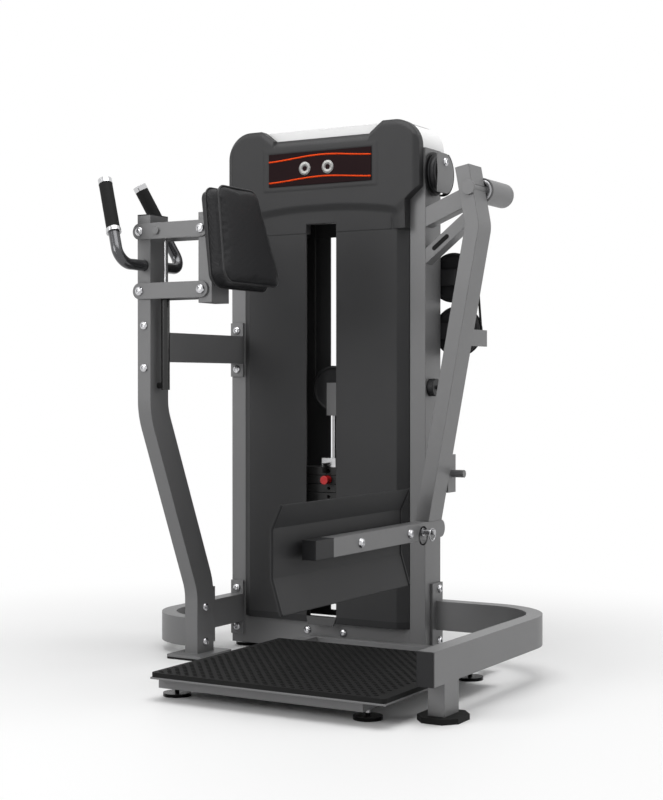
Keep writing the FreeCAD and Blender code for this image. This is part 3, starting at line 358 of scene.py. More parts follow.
def head_top(x):
    """Height of the upper edge: the notch floor, its slopes, the crown and the round corners."""
    slope = np.clip((x - NOTCH_INNER) / (NOTCH_OUTER - NOTCH_INNER), 0, 1)
    crown = head_high.z - (head_high.z - NOTCH_FLOOR) * (1 - slope)
    into = np.clip(x - (HEAD_HALF - CORNER), 0, CORNER)
    return crown - (CORNER - np.sqrt(CORNER ** 2 - into ** 2))


def head_face(x, z, high):
    """Depth of the face in front of the shell's back: one depth with smooth steps added.

    The steps are the placard's panel and well, the recess under the arch, the rounded rim, the
    chamfer under the notch and the flare.
    """
    side = np.abs(x)
    inside = np.minimum(np.minimum(HEAD_HALF - side, high - z), RIM_WIDTH)
    rim = ramp(inside, -0.004, 0.020)
    flared = ramp(z - FLARE_LOW - 0.7 * (side - NECK_HALF), -0.030, 0.008)
    panel = 1 - np.maximum(ramp(side, *PANEL_SIDE), ramp(np.abs(z - SIGN_MIDDLE), *PANEL_TALL))
    under_notch = ramp(z, NOTCH_FLOOR - 0.002, NOTCH_FLOOR - 0.028)
    chamfer = under_notch * (side < NOTCH_INNER) + (side >= NOTCH_INNER)
    arch = ARCH_TOP - ARCH_FALL * (side - ARCH_START) ** 2
    recess = 1 - ramp(z, arch - ARCH_EDGE, arch)
    well = ((side <= SIGN_X + WELL_MARGIN)
            & (z > SIGN_Z[0] - WELL_MARGIN) & (z < SIGN_Z[1] + WELL_MARGIN))
    depth = FACE_DEPTH + PANEL_PROUD * panel - RECESS_DEPTH * recess * ramp(side, 0.275, 0.225)
    depth = depth - RIM_DROP * (1 - rim) - CHAMFER_DROP * (1 - chamfer)
    depth = depth - FLARE_DROP * (1 - flared) * (side > 0.24)
    return np.where(well, WELL_DEPTH, np.minimum(depth, HEAD_DEPTH))


half = np.concatenate([
    np.linspace(0, SLOT_HALF, SLOT_COLUMNS),
    np.linspace(SLOT_HALF, NOTCH_INNER, 30),
    np.linspace(NOTCH_INNER, PANEL_SIDE[1], 10)[1:],
    np.linspace(PANEL_SIDE[1], NECK_HALF, 24)[1:],
    NECK_HALF + (HEAD_HALF - NECK_HALF) * np.sin(np.linspace(0, np.pi / 2, FLARE_COLUMNS))])
foot = np.select([np.arange(half.size) < SLOT_COLUMNS, half <= NECK_HALF],
                 [MOUTH_TOP, HEAD_FOOT], head_bottom(half))
foot[-FLARE_COLUMNS] = FLARE_LOW
across = np.concatenate([-half[::-1], half[1:]])
low_edge = np.concatenate([foot[::-1], foot[1:]])[:, None]
high_edge = head_top(np.abs(across))[:, None]
share = np.concatenate([np.linspace(0, SHARE_LOW, 8), np.linspace(SHARE_LOW, SHARE_HIGH, 110)[1:-1],
                        np.linspace(SHARE_HIGH, 1, 12)])[None, :]
rise = np.maximum(HEAD_FOOT + (high_edge - HEAD_FOOT) * share, low_edge)
wide = np.repeat(across[:, None], share.size, 1)
deep = head_face(wide, rise, high_edge)
front = np.stack([wide + HEAD_X, HEAD_BACK - deep, rise], -1)
rear = np.stack([wide, wide * 0, rise], -1)[:, [-1, 0]] + (HEAD_X, HEAD_BACK, 0)
shell = np.concatenate([front, rear], 1)
rows, columns = shell.shape[:2]
ends = [range(columns), range((rows - 1) * columns, rows * columns)]
head_faces = list(grid_quads(rows, columns, True)) + ends
head = new_piece("head_shell", shell, head_faces, charcoal, "frame")
head.data.set_sharp_from_angle(angle=math.radians(38))
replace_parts(head, "front_head_cover")

# Placard: a printed near-black sheet with two wavy orange bands, and two plain pale discs.
# The print stands a hair proud of the sheet.
SIGN_FACE, INK = sign_low.y, 0.0003
BAND_INSET, BAND_WIDTH, BAND_WAVES, BAND_START, BAND_POINTS = 0.017, 0.0050, 0.9, 0.22, 90
DISC_OFFSETS, DISC_RADIUS, DISC_HOLE, DISC_POINTS = (-0.05, 0.03), 0.020, 0.008, 48
ink_black = finish("near black print", (0.010, 0.003, 0.004), (0.013, 0.004, 0.005), 0.5,
                   shine=0.06)
ink_orange = finish("orange print", (0.90, 0.075, 0.010), (0.85, 0.070, 0.009), 0.5, shine=0.05)
ink_pale = finish("pale print", (0.62, 0.62, 0.60), (0.56, 0.56, 0.55), 0.5, shine=0.1)
dress(ink_black, "placard")


def band(name, middle, wave):
    """A flat band across the placard, at the height middle + wave sin(2 pi (waves t - start))."""
    along = np.linspace(0, 1, BAND_POINTS)[:, None]
    edge = np.array([-0.5, 0.5, 0.5, -0.5])[None, :] * BAND_WIDTH
    lift = np.array([0, 0, INK, INK])[None, :]
    x = sign_low.x + (sign_high.x - sign_low.x) * along
    z = middle + wave * np.sin(2 * np.pi * (along * BAND_WAVES - BAND_START)) + edge
    points = np.stack(np.broadcast_arrays(x, SIGN_FACE - lift, z), -1)
    count = 4 * BAND_POINTS
    faces = list(grid_quads(BAND_POINTS, 4, True)) + [range(4), range(count - 4, count)]
    new_piece(name, points, faces, ink_orange, "frame")


band("placard_band_high", SIGN_Z[1] - BAND_INSET, 0.0060)
band("placard_band_low", SIGN_Z[0] + BAND_INSET, 0.0055)


def disc_print(name, x, z):
    """A flat ring printed on the placard: r cos a and r sin a, with a hair of thickness."""
    turn = np.linspace(0, 2 * np.pi, DISC_POINTS, endpoint=False)[:, None]
    reach = np.array([DISC_HOLE, DISC_RADIUS, DISC_RADIUS, DISC_HOLE])[None, :]
    lift = np.array([0, 0, INK, INK])[None, :]
    spots = (x + reach * np.cos(turn), SIGN_FACE - lift, z + reach * np.sin(turn))
    points = np.stack(np.broadcast_arrays(*spots), -1)
    closed = np.concatenate([points, points[:1]])
    new_piece(name, closed, grid_quads(DISC_POINTS + 1, 4, True), ink_pale, "frame")


for index, offset in enumerate(DISC_OFFSETS):
    disc_print(f"placard_disc_{index}", HEAD_X + offset, SIGN_MIDDLE)

# Bolts: zinc-plated button heads with hex sockets on the flanges, post, rail and panel.
# Each head is a dome turned about its own axis, with a six-sided pit sunk into it.
BOLT_RADIUS, BOLT_RISE, SOCKET, SOCKET_DEPTH, BOLT_SIDES = 0.0125, 0.0065, 0.0048, 0.0042, 36
BOLT_RIM, DOME_RINGS, PIT_MIDDLE, PIT_DISH = 0.0014, 9, 0.3, 0.0004
BOLT_SINK, FRONT_FACING_LIMIT = 0.003, 0.1
POST_FOOT_LOW, POST_FOOT_TOP, POST_FOOT_BOLTS = 0.02, 0.2, (0.150, 0.045)
zinc = finish("zinc plated bolt", (0.58, 0.58, 0.59), (0.50, 0.50, 0.52), 0.16, spread=0.04,
              metal=1.0, edge=0.0005)


def button_heads(name, seats, outward, material, body, radius=BOLT_RADIUS):
    """Domes on the points in seats, each with a pit whose reach follows a hexagon.

    Over its straight rim, the dome's height at r is its rise times sqrt(1 - (r / radius)^2).
    """
    turn = np.linspace(0, 2 * np.pi, BOLT_SIDES, endpoint=False)
    hexagon = SOCKET / np.cos((turn + np.pi / 6) % (np.pi / 3) - np.pi / 6)
    part = np.linspace(1, 0, DOME_RINGS)[:, None]
    dome = hexagon + (radius - hexagon) * part
    size = radius / BOLT_RADIUS
    lift = BOLT_RISE * size * np.sqrt(np.clip(1 - (dome / radius) ** 2, 0, 1)) + BOLT_RIM
    rings = [radius + 0 * turn] + list(dome) + [hexagon, hexagon * PIT_MIDDLE, hexagon * 0]
    pit = lift[-1] - SOCKET_DEPTH
    levels = [0 * turn] + list(lift) + [pit, pit - PIT_DISH, pit - PIT_DISH]
    reach, level = np.stack(rings), np.stack(levels)
    outward = np.array(outward, float)
    side = np.cross(outward, (0.0, 0.0, 1.0))
    up = np.cross(outward, side)
    flat = (reach * np.cos(turn))[..., None] * side + (reach * np.sin(turn))[..., None] * up
    shape = flat + level[..., None] * outward
    one = grid_quads(len(reach), BOLT_SIDES, True)
    points = np.array(seats)[:, None, None, :] + shape[None]
    starts = np.arange(len(seats)) * len(reach) * BOLT_SIDES
    faces = (starts[:, None, None] + one[None]).reshape(-1, 4)
    backs = [range(start, start + BOLT_SIDES) for start in starts.tolist()]
    piece = new_piece(name, points, list(faces) + backs, material, body)
    piece.data.set_sharp_from_angle(angle=math.radians(40))
    return piece


def vertices(name):
    """A CAD node's points as an array of x, y, z."""
    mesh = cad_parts[name].data
    spots = np.empty(len(mesh.vertices) * 3)
    mesh.vertices.foreach_get("co", spots)
    return spots.reshape(-1, 3)


def clusters(points, reach=0.03):
    """The middles of groups of points that lie within reach of each other."""
    middles, left = [], points
    while len(left):
        near = np.linalg.norm(left - left[0], axis=1) < reach
        middles.append((left[near].min(0) + left[near].max(0)) / 2)
        left = left[~near]
    return middles


heads = clusters(vertices("frame_bolts"))
facing_front = [(m[0], m[1] + BOLT_SINK, m[2]) for m in heads if m[0] < FRONT_FACING_LIMIT]
facing_right = [(m[0] - BOLT_SINK, m[1], m[2]) for m in heads if m[0] >= FRONT_FACING_LIMIT]
post = vertices("front_post")
foot_part = post[(post[:, 2] < POST_FOOT_TOP) & (post[:, 2] > POST_FOOT_LOW)]
foot_side, foot_y = foot_part[:, 0].max(), (foot_part[:, 1].min() + foot_part[:, 1].max()) / 2
foot_seats = [(foot_side, foot_y, height) for height in POST_FOOT_BOLTS]
front_bolts = button_heads("bolts_facing_front", facing_front, (0, -1, 0), zinc, "frame")
button_heads("bolts_on_post_foot", foot_seats, (1, 0, 0), zinc, "frame")
right_bolts = button_heads("bolts_facing_right", facing_right, (1, 0, 0), zinc, "frame")
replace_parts(front_bolts, "frame_bolts")
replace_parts(right_bolts, "frame_bolts")

# Link pins: a through bolt in each end of the four links, with a button head on both sides.
# The post's pins stay on the frame, and the column's pins move with the pad.
# The push panel's bolts get the same heads.
PIN_RADIUS, PIN_SINK = 0.0135, 0.006


def pin_heads(node, body):
    """Button heads on both ends of the pins of a node, seated where the pin's own heads begin."""
    spots = clusters(vertices(node) * (1, 0, 1))
    near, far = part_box(node)
    front_seats = [(m[0], near.y + PIN_SINK, m[2]) for m in spots]
    rear_seats = [(m[0], far.y - PIN_SINK, m[2]) for m in spots]
    button_heads(node + "_heads_front", front_seats, (0, -1, 0), zinc, body, radius=PIN_RADIUS)
    button_heads(node + "_heads_rear", rear_seats, (0, 1, 0), zinc, body, radius=PIN_RADIUS)


pin_heads("post_link_pins", "frame")
pin_heads("column_link_pins", "pad")
panel_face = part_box("panel_bolts")[1].x - PIN_SINK
panel_seats = [(panel_face, m[1], m[2]) for m in clusters(vertices("panel_bolts"))]
button_heads("panel_bolt_heads", panel_seats, (1, 0, 0), zinc, "arm", radius=PIN_RADIUS)

# Step mat: a black moulded rubber sheet on the platform, with rows of low lens-shaped studs.
# Every other row is set half a pitch along, and the sheet has a plain border.
mat_low, mat_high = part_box("step_mat")
STUD_LONG, STUD_WIDE, STUD_RISE, STUD_SINK = 0.0078, 0.0044, 0.0026, 0.0001
STUD_STEP, ROW_STEP, MAT_BORDER = 0.0265, 0.0165, 0.016
STUD_SIDES, STUD_RINGS = 12, (1.0, 0.72, 0.36)
first_x, last_x = mat_low.x + MAT_BORDER + STUD_LONG, mat_high.x - MAT_BORDER - STUD_LONG
stud_x = np.arange(first_x, last_x - STUD_STEP / 2, STUD_STEP)
stud_y = np.arange(mat_low.y + MAT_BORDER, mat_high.y - MAT_BORDER, ROW_STEP)
grid_x, grid_y = np.meshgrid(stud_x, stud_y)
grid_x = grid_x + (np.arange(stud_y.size) % 2)[:, None] * STUD_STEP / 2
turn = np.linspace(0, 2 * np.pi, STUD_SIDES, endpoint=False)
reach = np.array(STUD_RINGS)[:, None]
lens = np.stack([reach * np.cos(turn) * STUD_LONG, reach * np.sin(turn) * STUD_WIDE,
                 STUD_RISE * np.sqrt(1 - reach ** 2) + 0 * turn], -1)
seat_z = np.full(grid_x.size, mat_high.z - STUD_SINK)
seats = np.stack([grid_x.ravel(), grid_y.ravel(), seat_z], -1)
studs = seats[:, None, None, :] + lens
one_stud = grid_quads(len(STUD_RINGS), STUD_SIDES, True)
stud_points = len(STUD_RINGS) * STUD_SIDES
starts = np.arange(grid_x.size)[:, None] * stud_points
tops = (starts + np.arange(stud_points - STUD_SIDES, stud_points)).tolist()
bottoms = (starts + np.arange(STUD_SIDES)[::-1]).tolist()
sides = (starts[:, None] + one_stud[None]).reshape(-1, 4)
new_piece("mat_studs", studs, list(sides) + tops + bottoms, rubber, "frame")

# Pulleys: black moulded wheels with a grooved rim, a raised lip, a dished web and a hub.
# Each wheel is bored for its axle and fills the box of the CAD pulley it replaces.
WHEEL_BORE, WHEEL_GROOVE, GROOVE_HALF, WEB_LEVEL = 0.0095, 0.010, 0.68, 0.55


def turned(name, profile, centre, axis, material, body, sides=72):
    """A profile of (radius, offset) turned about an axis: r cos a, r sin a and offset."""
    axis = np.array(axis, float)
    side = np.cross(axis, (0.0, 0.0, 1.0))
    up = np.cross(axis, side)
    turn = np.linspace(0, 2 * np.pi, sides, endpoint=False)
    profile = np.array(profile)
    ring = np.cos(turn)[:, None] * side + np.sin(turn)[:, None] * up
    points = np.array(centre) + profile[:, 0, None, None] * ring + profile[:, 1, None, None] * axis
    piece = new_piece(name, points, grid_quads(len(profile), sides, True), material, body)
    piece.data.set_sharp_from_angle(angle=math.radians(35))
    return piece


def wheel(node, axis, body):
    """A grooved wheel in the box of a CAD pulley, bored at its axle."""
    low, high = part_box(node)
    centre = (np.array(low) + np.array(high)) / 2
    across = "xyz".index(axis)
    radius, half = (high.z - low.z) / 2, (high[across] - low[across]) / 2
    groove = min(WHEEL_GROOVE, half * 0.7)
    hub = [(WHEEL_BORE, 0.75), (0.02, 0.75), (0.021, 0.5), (0.024, WEB_LEVEL)]
    web = [(radius * share, level) for share, level in
           ((0.80, WEB_LEVEL), (0.83, 0.60), (0.87, 0.66), (0.885, 0.92), (0.90, 1.0))]
    face = hub + web + [(radius - 0.002, 1.0), (radius, 0.9)]
    rim = [(radius - groove * math.cos(t), half * GROOVE_HALF * math.sin(t))
           for t in np.linspace(math.pi / 2, -math.pi / 2, 12)]
    profile = [(r, o * half) for r, o in face] + rim + [(r, -o * half) for r, o in face[::-1]]
    profile.append(profile[0])
    unit = [0, 0, 0]
    unit[across] = 1
    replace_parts(turned(node + "_wheel", profile, centre, unit, black_plastic, body), node)


for node, axis, body in (
        ("floating_pulley", "y", "float"), ("crown_pulley_left", "y", "crown_left"),
        ("crown_pulley_right", "y", "crown_right"), ("side_pulley_high", "y", "side_high"),
        ("side_pulley_low", "y", "side_low"), ("guard_pulley", "x", "guard")):
    wheel(node, axis, body)

# Chest pad: foam on a board under a black cover with a fine crossed weave, drawn in at its
# sides. The cover is piped round its front and rear edges, and a cloth simulation blows the
# cushion up.
PAD_PLACE, PAD_LEAN = np.array((-0.157, -0.092, 1.222)), math.radians(-11.7)
PAD_LOW_HALF, PAD_TOP_HALF, PAD_HALF_TALL = 0.142, 0.105, 0.144
PAD_THICK, PAD_CORNER, PAD_SET_BACK, PIPE_RADIUS = 0.052, 0.040, 0.0035, 0.0032
THREADS, VOXEL, PRESSURE, PUFF, CLOTH_FRAMES = 95, 0.005, 4, 0.006, 20


def pad_outline(count, inset=0.0):
    """Closed outline of a tapered panel: round corners on four points, in even steps."""
    wide = {1: PAD_TOP_HALF - inset, -1: PAD_LOW_HALF - inset}
    tall, corner = PAD_HALF_TALL - inset, PAD_CORNER - inset
    points = []
    for start, side, end in ((0, 1, 1), (90, -1, 1), (180, -1, -1), (270, 1, -1)):
        turn = np.radians(start + np.linspace(0, 90, count // 8))
        middle = (side * (wide[end] - corner), end * (tall - corner))
        arc = (middle[0] + corner * np.cos(turn), middle[1] + corner * np.sin(turn))
        points.append(np.stack(arc, -1))
    ring = np.concatenate(points + [points[0][:1]])
    step = np.concatenate([[0], np.cumsum(np.linalg.norm(np.diff(ring, axis=0), axis=1))])
    even = np.linspace(0, step[-1], count, endpoint=False)
    return np.stack([np.interp(even, step, ring[:, 0]), np.interp(even, step, ring[:, 1])], -1)


def pad_point(deep, flat):
    """Places points of the pad: deep is in front of the board, flat is across the panel."""
    x, y, z = deep, flat[..., 0], flat[..., 1]
    cosine, sine = math.cos(PAD_LEAN), math.sin(PAD_LEAN)
    leaning = (x * cosine + z * sine, y, -x * sine + z * cosine)
    return np.stack(np.broadcast_arrays(*leaning), -1) + PAD_PLACE


def weave(name, dark, light):
    """Crossed threads: two waves at right angles choose the thread's colour and its height."""
    made = finish(name, dark, light, 0.52, scale=700, bump=0.0006, edge=0.002, shine=0.2)
    nodes, links = made.node_tree.nodes, made.node_tree.links
    place, both = nodes.new("ShaderNodeTexCoord"), nodes.new("ShaderNodeMath")
    both.operation = "MULTIPLY"
    for socket, direction in enumerate(("Y", "Z")):
        thread = nodes.new("ShaderNodeTexWave")
        thread.bands_direction = direction
        thread.inputs["Scale"].default_value = THREADS
        links.new(place.outputs["Object"], thread.inputs["Vector"])
        links.new(thread.outputs["Fac"], both.inputs[socket])
    mixer = next(node for node in nodes if node.type == "MIX")
    links.new(both.outputs[0], mixer.inputs["Factor"])
    bump = next(node for node in nodes if node.type == "BUMP")
    links.new(both.outputs[0], bump.inputs["Height"])
    return made


cover = weave("black woven cover", (0.005, 0.005, 0.006), (0.020, 0.020, 0.021))
piping = finish("black piping", (0.014, 0.014, 0.015), (0.018, 0.018, 0.019), 0.4, edge=0.001)
SIDES, BOARD_SINK, FACE_INSET = 144, 0.0005, 0.002
side_rings = [(0.0, 0.0), (0.004, 0.001), (0.026, 0.005), (0.046, 0.001)]
face_rings = [(PAD_THICK - 0.001, 0.005), (PAD_THICK + 0.0015, 0.018),
              (PAD_THICK + 0.003, 0.045), (PAD_THICK + 0.0035, 0.075)]
rings = [pad_point(deep - BOARD_SINK, pad_outline(SIDES, inset)) for deep, inset in side_rings]
for deep, inset in face_rings:
    shrink = 1 - inset / PAD_LOW_HALF
    rings.append(pad_point(deep - PAD_SET_BACK, pad_outline(SIDES, FACE_INSET) * shrink))
last = (len(rings) - 1) * SIDES
faces = list(grid_quads(len(rings), SIDES, True)) + [range(SIDES), range(last, last + SIDES)]
pad = new_piece("chest_cushion", np.stack(rings), faces, cover, "pad")


def blow_up(piece, cap):
    """Swells a mesh as cloth under pressure, by no more than cap, and smooths it once."""
    remesh = piece.modifiers.new("remesh", "REMESH")
    remesh.mode, remesh.voxel_size = "VOXEL", VOXEL
    bpy.context.view_layer.objects.active = piece
    bpy.ops.object.modifier_apply(modifier=remesh.name)
    mesh = piece.data
    rest = np.empty(len(mesh.vertices) * 3)
    mesh.vertices.foreach_get("co", rest)
    rest = rest.reshape(-1, 3)
    cloth = piece.modifiers.new("cloth", "CLOTH")
    cloth.settings.use_pressure = True
    cloth.settings.uniform_pressure_force = PRESSURE
    cloth.settings.effector_weights.gravity = 0
    for frame_number in range(1, CLOTH_FRAMES + 1):
        scene.frame_set(frame_number)
    swollen = piece.evaluated_get(bpy.context.evaluated_depsgraph_get()).to_mesh()
    moved = np.empty(len(swollen.vertices) * 3)
    swollen.vertices.foreach_get("co", moved)
    shift = moved.reshape(-1, 3) - rest
    reach = np.linalg.norm(shift, axis=1, keepdims=True)
    shift = shift * np.minimum(1, cap / np.maximum(reach, 1e-9))
    off_board = (rest - PAD_PLACE) @ np.array((math.cos(PAD_LEAN), 0, -math.sin(PAD_LEAN)))
    shift = shift * ramp(off_board, 0.001, 0.012)[:, None]
    piece.modifiers.remove(cloth)
    mesh.vertices.foreach_set("co", (rest + shift).ravel())
    mesh.update()
    scene.frame_set(1)
    smooth = piece.modifiers.new("smooth", "SUBSURF")
    smooth.levels = smooth.render_levels = 1


blow_up(pad, PUFF)
pad.data.polygons.foreach_set("use_smooth", np.full(len(pad.data.polygons), True))
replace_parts(pad, "chest_pad")


def piped(name, deep, inset, radius):
    """A round cord along the pad's outline: a circle carried round the closed outline."""
    path = pad_point(deep, pad_outline(SIDES, inset))
    along = np.roll(path, -1, 0) - np.roll(path, 1, 0)
    along /= np.linalg.norm(along, axis=1, keepdims=True)
    normal = np.array((math.cos(PAD_LEAN), 0, -math.sin(PAD_LEAN)))
    side = np.cross(along, normal)
    turn = np.linspace(0, 2 * np.pi, 10, endpoint=False)[None, :, None]
    tube = path[:, None] + radius * (np.cos(turn) * side[:, None] + np.sin(turn) * normal)
    closed = np.concatenate([tube, tube[:1]])
    new_piece(name, closed, grid_quads(len(closed), 10, True), piping, "pad")


piped("pad_piping_front", deep=PAD_THICK - 0.0085, inset=0.0060, radius=PIPE_RADIUS)
piped("pad_piping_rear", deep=0.003, inset=0.0008, radius=PIPE_RADIUS * 0.7)

# Guard cover: a flat grey plate beside the guard pulley, round at the rear.
# A black rubber strap follows its round edge, and a zinc bolt head sits on its face.
guard_low, guard_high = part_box("guard_pulley")
GUARD_MIDDLE = (np.array(guard_low) + np.array(guard_high)) / 2
GUARD_FACE, GUARD_RADIUS = guard_high.x + 0.001, (guard_high.z - guard_low.z) / 2
GUARD_THICK, GUARD_FRONT, PLATE_EDGE, GUARD_BOLT = 0.003, -0.046, 0.002, (0.004, 0.034)
STRAP_EDGE, STRAP_SET, STRAP_HALF, STRAP_FLAT, STRAP_POINTS = 0.006, 0.008, 0.011, 0.32, 50


def slab(name, outline, start, thickness, axis, material, body):
    """A flat plate: an outline in the plane across axis, carried along axis by its thickness."""
    outline = np.asarray(outline, float)
    first, second = [k for k in range(3) if k != axis]
    levels = np.array([start, start + thickness])
    points = np.zeros((2, len(outline), 3))
    points[..., first], points[..., second] = outline[:, 0], outline[:, 1]
    points[..., axis] = levels[:, None]
    count = len(outline)
    faces = list(grid_quads(2, count, True)) + [range(count), range(count, 2 * count)]
    return new_piece(name, points, faces, material, body, smooth=False)


def swept(name, path, radius, material, body, sides=12, flat=1.0):
    """A tube along a path: circles across the path's direction, flattened one way by flat."""
    path = np.asarray(path, float)
    along = np.gradient(path, axis=0)
    along /= np.linalg.norm(along, axis=1, keepdims=True)
    spread = np.ptp(path, axis=0)
    still = np.eye(3)[int(np.argmin(spread))]
    side = np.cross(along, still)
    side /= np.linalg.norm(side, axis=1, keepdims=True)
    up = np.cross(side, along)
    turn = np.linspace(0, 2 * np.pi, sides, endpoint=False)[None, :, None]
    circle = np.cos(turn) * side[:, None] * flat + np.sin(turn) * up[:, None]
    tube = path[:, None] + radius * circle
    last = (len(path) - 1) * sides
    faces = list(grid_quads(len(tube), sides, True)) + [range(sides), range(last, last + sides)]
    return new_piece(name, tube, faces, material, body)


rim_turn = np.radians(np.linspace(-75, 78, 40))
rim_way = np.stack([np.cos(rim_turn), np.sin(rim_turn)], -1)
rim = GUARD_MIDDLE[1:] + (GUARD_RADIUS + PLATE_EDGE) * rim_way
straight = GUARD_MIDDLE[1:] + np.array([(GUARD_FRONT, GUARD_RADIUS), (GUARD_FRONT, -GUARD_RADIUS)])
plate = np.concatenate([rim, straight])
slab("guard_plate", plate, GUARD_FACE, GUARD_THICK, 0, powder, "frame")
strap_turn = np.radians(np.linspace(-82, 62, STRAP_POINTS))
strap = np.stack([np.full(STRAP_POINTS, GUARD_FACE - STRAP_SET),
                  GUARD_MIDDLE[1] + (GUARD_RADIUS + STRAP_EDGE) * np.cos(strap_turn),
                  GUARD_MIDDLE[2] + (GUARD_RADIUS + STRAP_EDGE) * np.sin(strap_turn)], -1)
swept("guard_strap", strap, STRAP_HALF, rubber, "frame", flat=STRAP_FLAT)
guard_seat = (GUARD_FACE + GUARD_THICK, *(GUARD_MIDDLE[1:] + GUARD_BOLT))
button_heads("guard_bolt", [guard_seat], (1, 0, 0), zinc, "frame")

# Slot in the brace: a black oval sheet of painted shade on the front face of the boom's brace.
# It stands for the dark inside of the slot that the side cable would run through, and no hole is
# cut behind it.
boom_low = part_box("boom")[0]
BRACE_START, BRACE_END = np.array((0.231, 1.1925)), np.array((0.393, 1.321))
OVAL_PLACE, OVAL_LONG, OVAL_ROUND, OVAL_ARC = 0.062, 0.026, 0.0065, 16
OVAL_PROUD, OVAL_THICK = 0.0006, 0.0010
way = (BRACE_END - BRACE_START) / np.linalg.norm(BRACE_END - BRACE_START)
over = np.array((-way[1], way[0]))
bend = np.radians(np.concatenate([np.linspace(-90, 90, OVAL_ARC), np.linspace(90, 270, OVAL_ARC)]))
reach = np.repeat((OVAL_LONG, -OVAL_LONG), OVAL_ARC)
lengthwise = (reach + OVAL_ROUND * np.cos(bend))[:, None] * way
crosswise = (OVAL_ROUND * np.sin(bend))[:, None] * over
oval = BRACE_START + way * OVAL_PLACE + lengthwise + crosswise
slab("brace_slot_painted_shade", oval, boom_low.y - OVAL_PROUD, OVAL_THICK, 1, rubber, "frame")

# Pivot housing: a steel bearing ring shows at each end of the grey tube that carries the arm.
# The rings are pressed in against the bushes.
house_low, house_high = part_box("pivot_housing")
PIVOT_X, PIVOT_Z, RING_SIDES = 0.411, 1.372, 48
ring_profile = [(0.020, 0), (0.020, 0.0016), (0.0225, 0.0026), (0.028, 0.0026),
                (0.0305, 0.0012), (0.0305, 0), (0.020, 0)]
for name, level, facing in (("bearing_ring_front", house_low.y, -1),
                            ("bearing_ring_rear", house_high.y, 1)):
    turned(name, ring_profile, (PIVOT_X, level, PIVOT_Z), (0, facing, 0), steel, "frame",
           sides=RING_SIDES)

# Pull pin: a black coiled ring hangs on the pin's stem, in front of its collar.
# The stem touches the ring's inside, up and to the right of its middle.
pull_tip = vertices("pull_pin")
pull_tip = pull_tip[pull_tip[:, 0] > pull_tip[:, 0].max() - 0.0005]
stem_y, stem_z = (pull_tip[:, 1:].min(0) + pull_tip[:, 1:].max(0)) / 2
STEM_RADIUS, RING_WIRE = np.ptp(pull_tip[:, 2]) / 2, 0.0007
RING_RADIUS, RING_COIL, RING_TURNS, RING_STEPS = 0.025, 0.0017, 44, 880
ring_turn = np.linspace(0, 2 * np.pi, RING_STEPS, endpoint=False)
ring_reach = RING_RADIUS + RING_COIL * np.cos(RING_TURNS * ring_turn)
ring_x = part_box("push_bar")[1].x + 0.009 + RING_COIL * np.sin(RING_TURNS * ring_turn)
ring_hang = (RING_RADIUS - RING_COIL - RING_WIRE - STEM_RADIUS) * math.sqrt(0.5)
ring_y = stem_y - ring_hang + ring_reach * np.cos(ring_turn)
ring_z = stem_z - ring_hang + ring_reach * np.sin(ring_turn)
ring = np.stack([ring_x, ring_y, ring_z], -1)


def wire(name, path, radius, material, body, closed=False):
    """A round wire along a path of points: a curve with a bevel, one spline through them."""
    curve = bpy.data.curves.new(name, "CURVE")
    curve.dimensions, curve.bevel_depth, curve.bevel_resolution = "3D", radius, 2
    spline = curve.splines.new("NURBS")
    spline.points.add(len(path) - 1)
    spline.points.foreach_set("co", np.concatenate([path, np.ones((len(path), 1))], 1).ravel())
    spline.order_u, spline.use_endpoint_u, spline.use_cyclic_u = 3, not closed, closed
    spline.resolution_u = 2
    curve.use_fill_caps = True
    curve.materials.append(material)
    piece = bpy.data.objects.new(name, curve)
    scene.collection.objects.link(piece)
    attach(piece, body)
    return piece


wire("pull_ring_coil", ring, RING_WIRE, rubber, "release", closed=True)

# Selector lanyard: a thin black coiled wire from the red knob to its seat over the stack.
# It rises from the knob, bends back into seven turns and runs straight to the seat.
lace_low, lace_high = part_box("pin_lanyard")
LACE, LACE_COIL, LACE_TURNS, LACE_PITCH = 0.0016, 0.007, 7, 0.0043
LACE_BEND, LACE_TAIL = LACE * 2.5, LACE * 2
lace_top = np.array((lace_high.x - LACE, lace_low.y + LACE_COIL + LACE,
                     lace_low.z + LACE_BEND + LACE_TAIL))
lace_start = lace_top - (0, LACE_BEND, LACE_BEND + LACE_TAIL)
lace_turn = np.linspace(0, 2 * np.pi * LACE_TURNS, LACE_TURNS * 24 + 1)
coil = lace_top + np.stack([LACE_COIL * (np.cos(lace_turn) - 1), LACE_COIL * np.sin(lace_turn),
                            LACE_PITCH * lace_turn / (2 * np.pi)], -1)
lace_rise = np.array([lace_start, lace_start + (0, 0, LACE_TAIL),
                      lace_start + (0, 0.001, LACE_TAIL + LACE_BEND * 0.8)])
lace_end = np.array([coil[-1] + (0, 0.004, 0), (coil[-1][0], lace_high.y - 0.0005, coil[-1][2])])
lace_path = np.concatenate([lace_rise, coil, lace_end])
lanyard = wire("lanyard_wire", lace_path, LACE, rubber, "stack")
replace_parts(lanyard, "pin_lanyard")

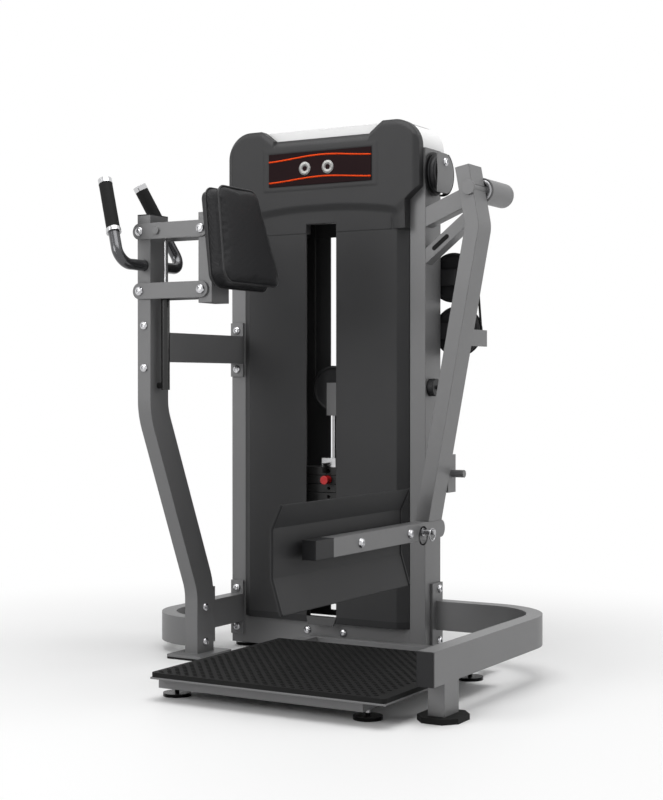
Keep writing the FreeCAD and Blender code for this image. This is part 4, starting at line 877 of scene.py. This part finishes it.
# Slot sill: a bevelled ledge at the foot of the stack slot, in lighter charcoal.
# It is moulded with the shroud.
shroud_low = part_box("front_shroud_sides")[0]
sill_grey = finish("sill plastic", (0.060, 0.060, 0.061), (0.066, 0.066, 0.067), 0.5, shine=0.25)
SILL_TOP, SILL_LOW, SILL_PROUD, SILL_GAP = 0.118, 0.093, 0.005, 0.0003
SILL_WIDE, SILL_NARROW = 0.052, 0.044
sill_front, sill_back = shroud_low.y - SILL_PROUD, shroud_low.y - SILL_GAP
sill = [(HEAD_X + way * reach, y, z)
        for reach, y, z in ((SILL_WIDE, sill_back, SILL_TOP), (SILL_NARROW, sill_front, SILL_LOW),
                            (SILL_NARROW, sill_back, SILL_LOW))
        for way in (-1, 1)]
sill_faces = [(0, 2, 3, 1), (2, 4, 5, 3), (4, 0, 1, 5), (0, 4, 2), (1, 3, 5)]
new_piece("slot_sill", sill, sill_faces, sill_grey, "frame", smooth=False)

# Belt strands: two round black runs from the crown pulleys down to the pulley over the stack.
# On the machine they shorten as the stack rises, towards the fixed height of the crown pulleys'
# axles; here they are fixed tubes on the frame.
CROWN_AXLE, STACK_TRAVEL, RUN_POINTS = 1.385, 0.44, 24
strand_points = vertices("belt_strands")
for name, group in (("belt_run_left", strand_points[strand_points[:, 0] < HEAD_X]),
                    ("belt_run_right", strand_points[strand_points[:, 0] > HEAD_X])):
    low, high = group.min(0), group.max(0)
    middle = np.tile((low + high)[:2] / 2, (RUN_POINTS, 1))
    run = np.column_stack([middle, np.linspace(low[2], high[2], RUN_POINTS)])
    strand = swept(name, run, (high[0] - low[0]) / 2, rubber, "frame", sides=16)
    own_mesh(strand)
    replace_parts(strand, "belt_strands")

# Push panel rims: the moulded panel ends in a rounded dark rim on its near and its far side.
# Each rim follows the panel's own front profile.
panel_points = vertices("push_panel")
panel_low, panel_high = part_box("push_panel")
RIM_RADIUS, RIM_SET, RIM_SINK, END_REACH, PROFILE_POINTS = 0.0042, 0.0043, 0.001, 0.002, 60
rim_black = finish("panel rim", (0.010, 0.010, 0.011), (0.014, 0.014, 0.015), 0.45,
                   edge=0.001, shine=0.2)


def panel_profile(level):
    """The front of the panel at one end: at each height there, the point furthest out."""
    end = panel_points[np.abs(panel_points[:, 1] - level) < END_REACH]
    heights = np.unique(np.round(end[:, 2], 4))
    front = [end[np.abs(end[:, 2] - z) < 1e-4][:, 0].max() for z in heights]
    even = np.linspace(heights[0], heights[-1], PROFILE_POINTS)
    return np.stack([np.interp(even, heights, front), even], -1)


for name, level, inward in (("panel_rim_near", panel_low.y, 1),
                            ("panel_rim_far", panel_high.y, -1)):
    line = panel_profile(level)
    rim_y = np.full(len(line), level + inward * RIM_SET)
    path = np.stack([line[:, 0] - RIM_SINK, rim_y, line[:, 1]], -1)
    swept(name, path, RIM_RADIUS, rim_black, "arm")
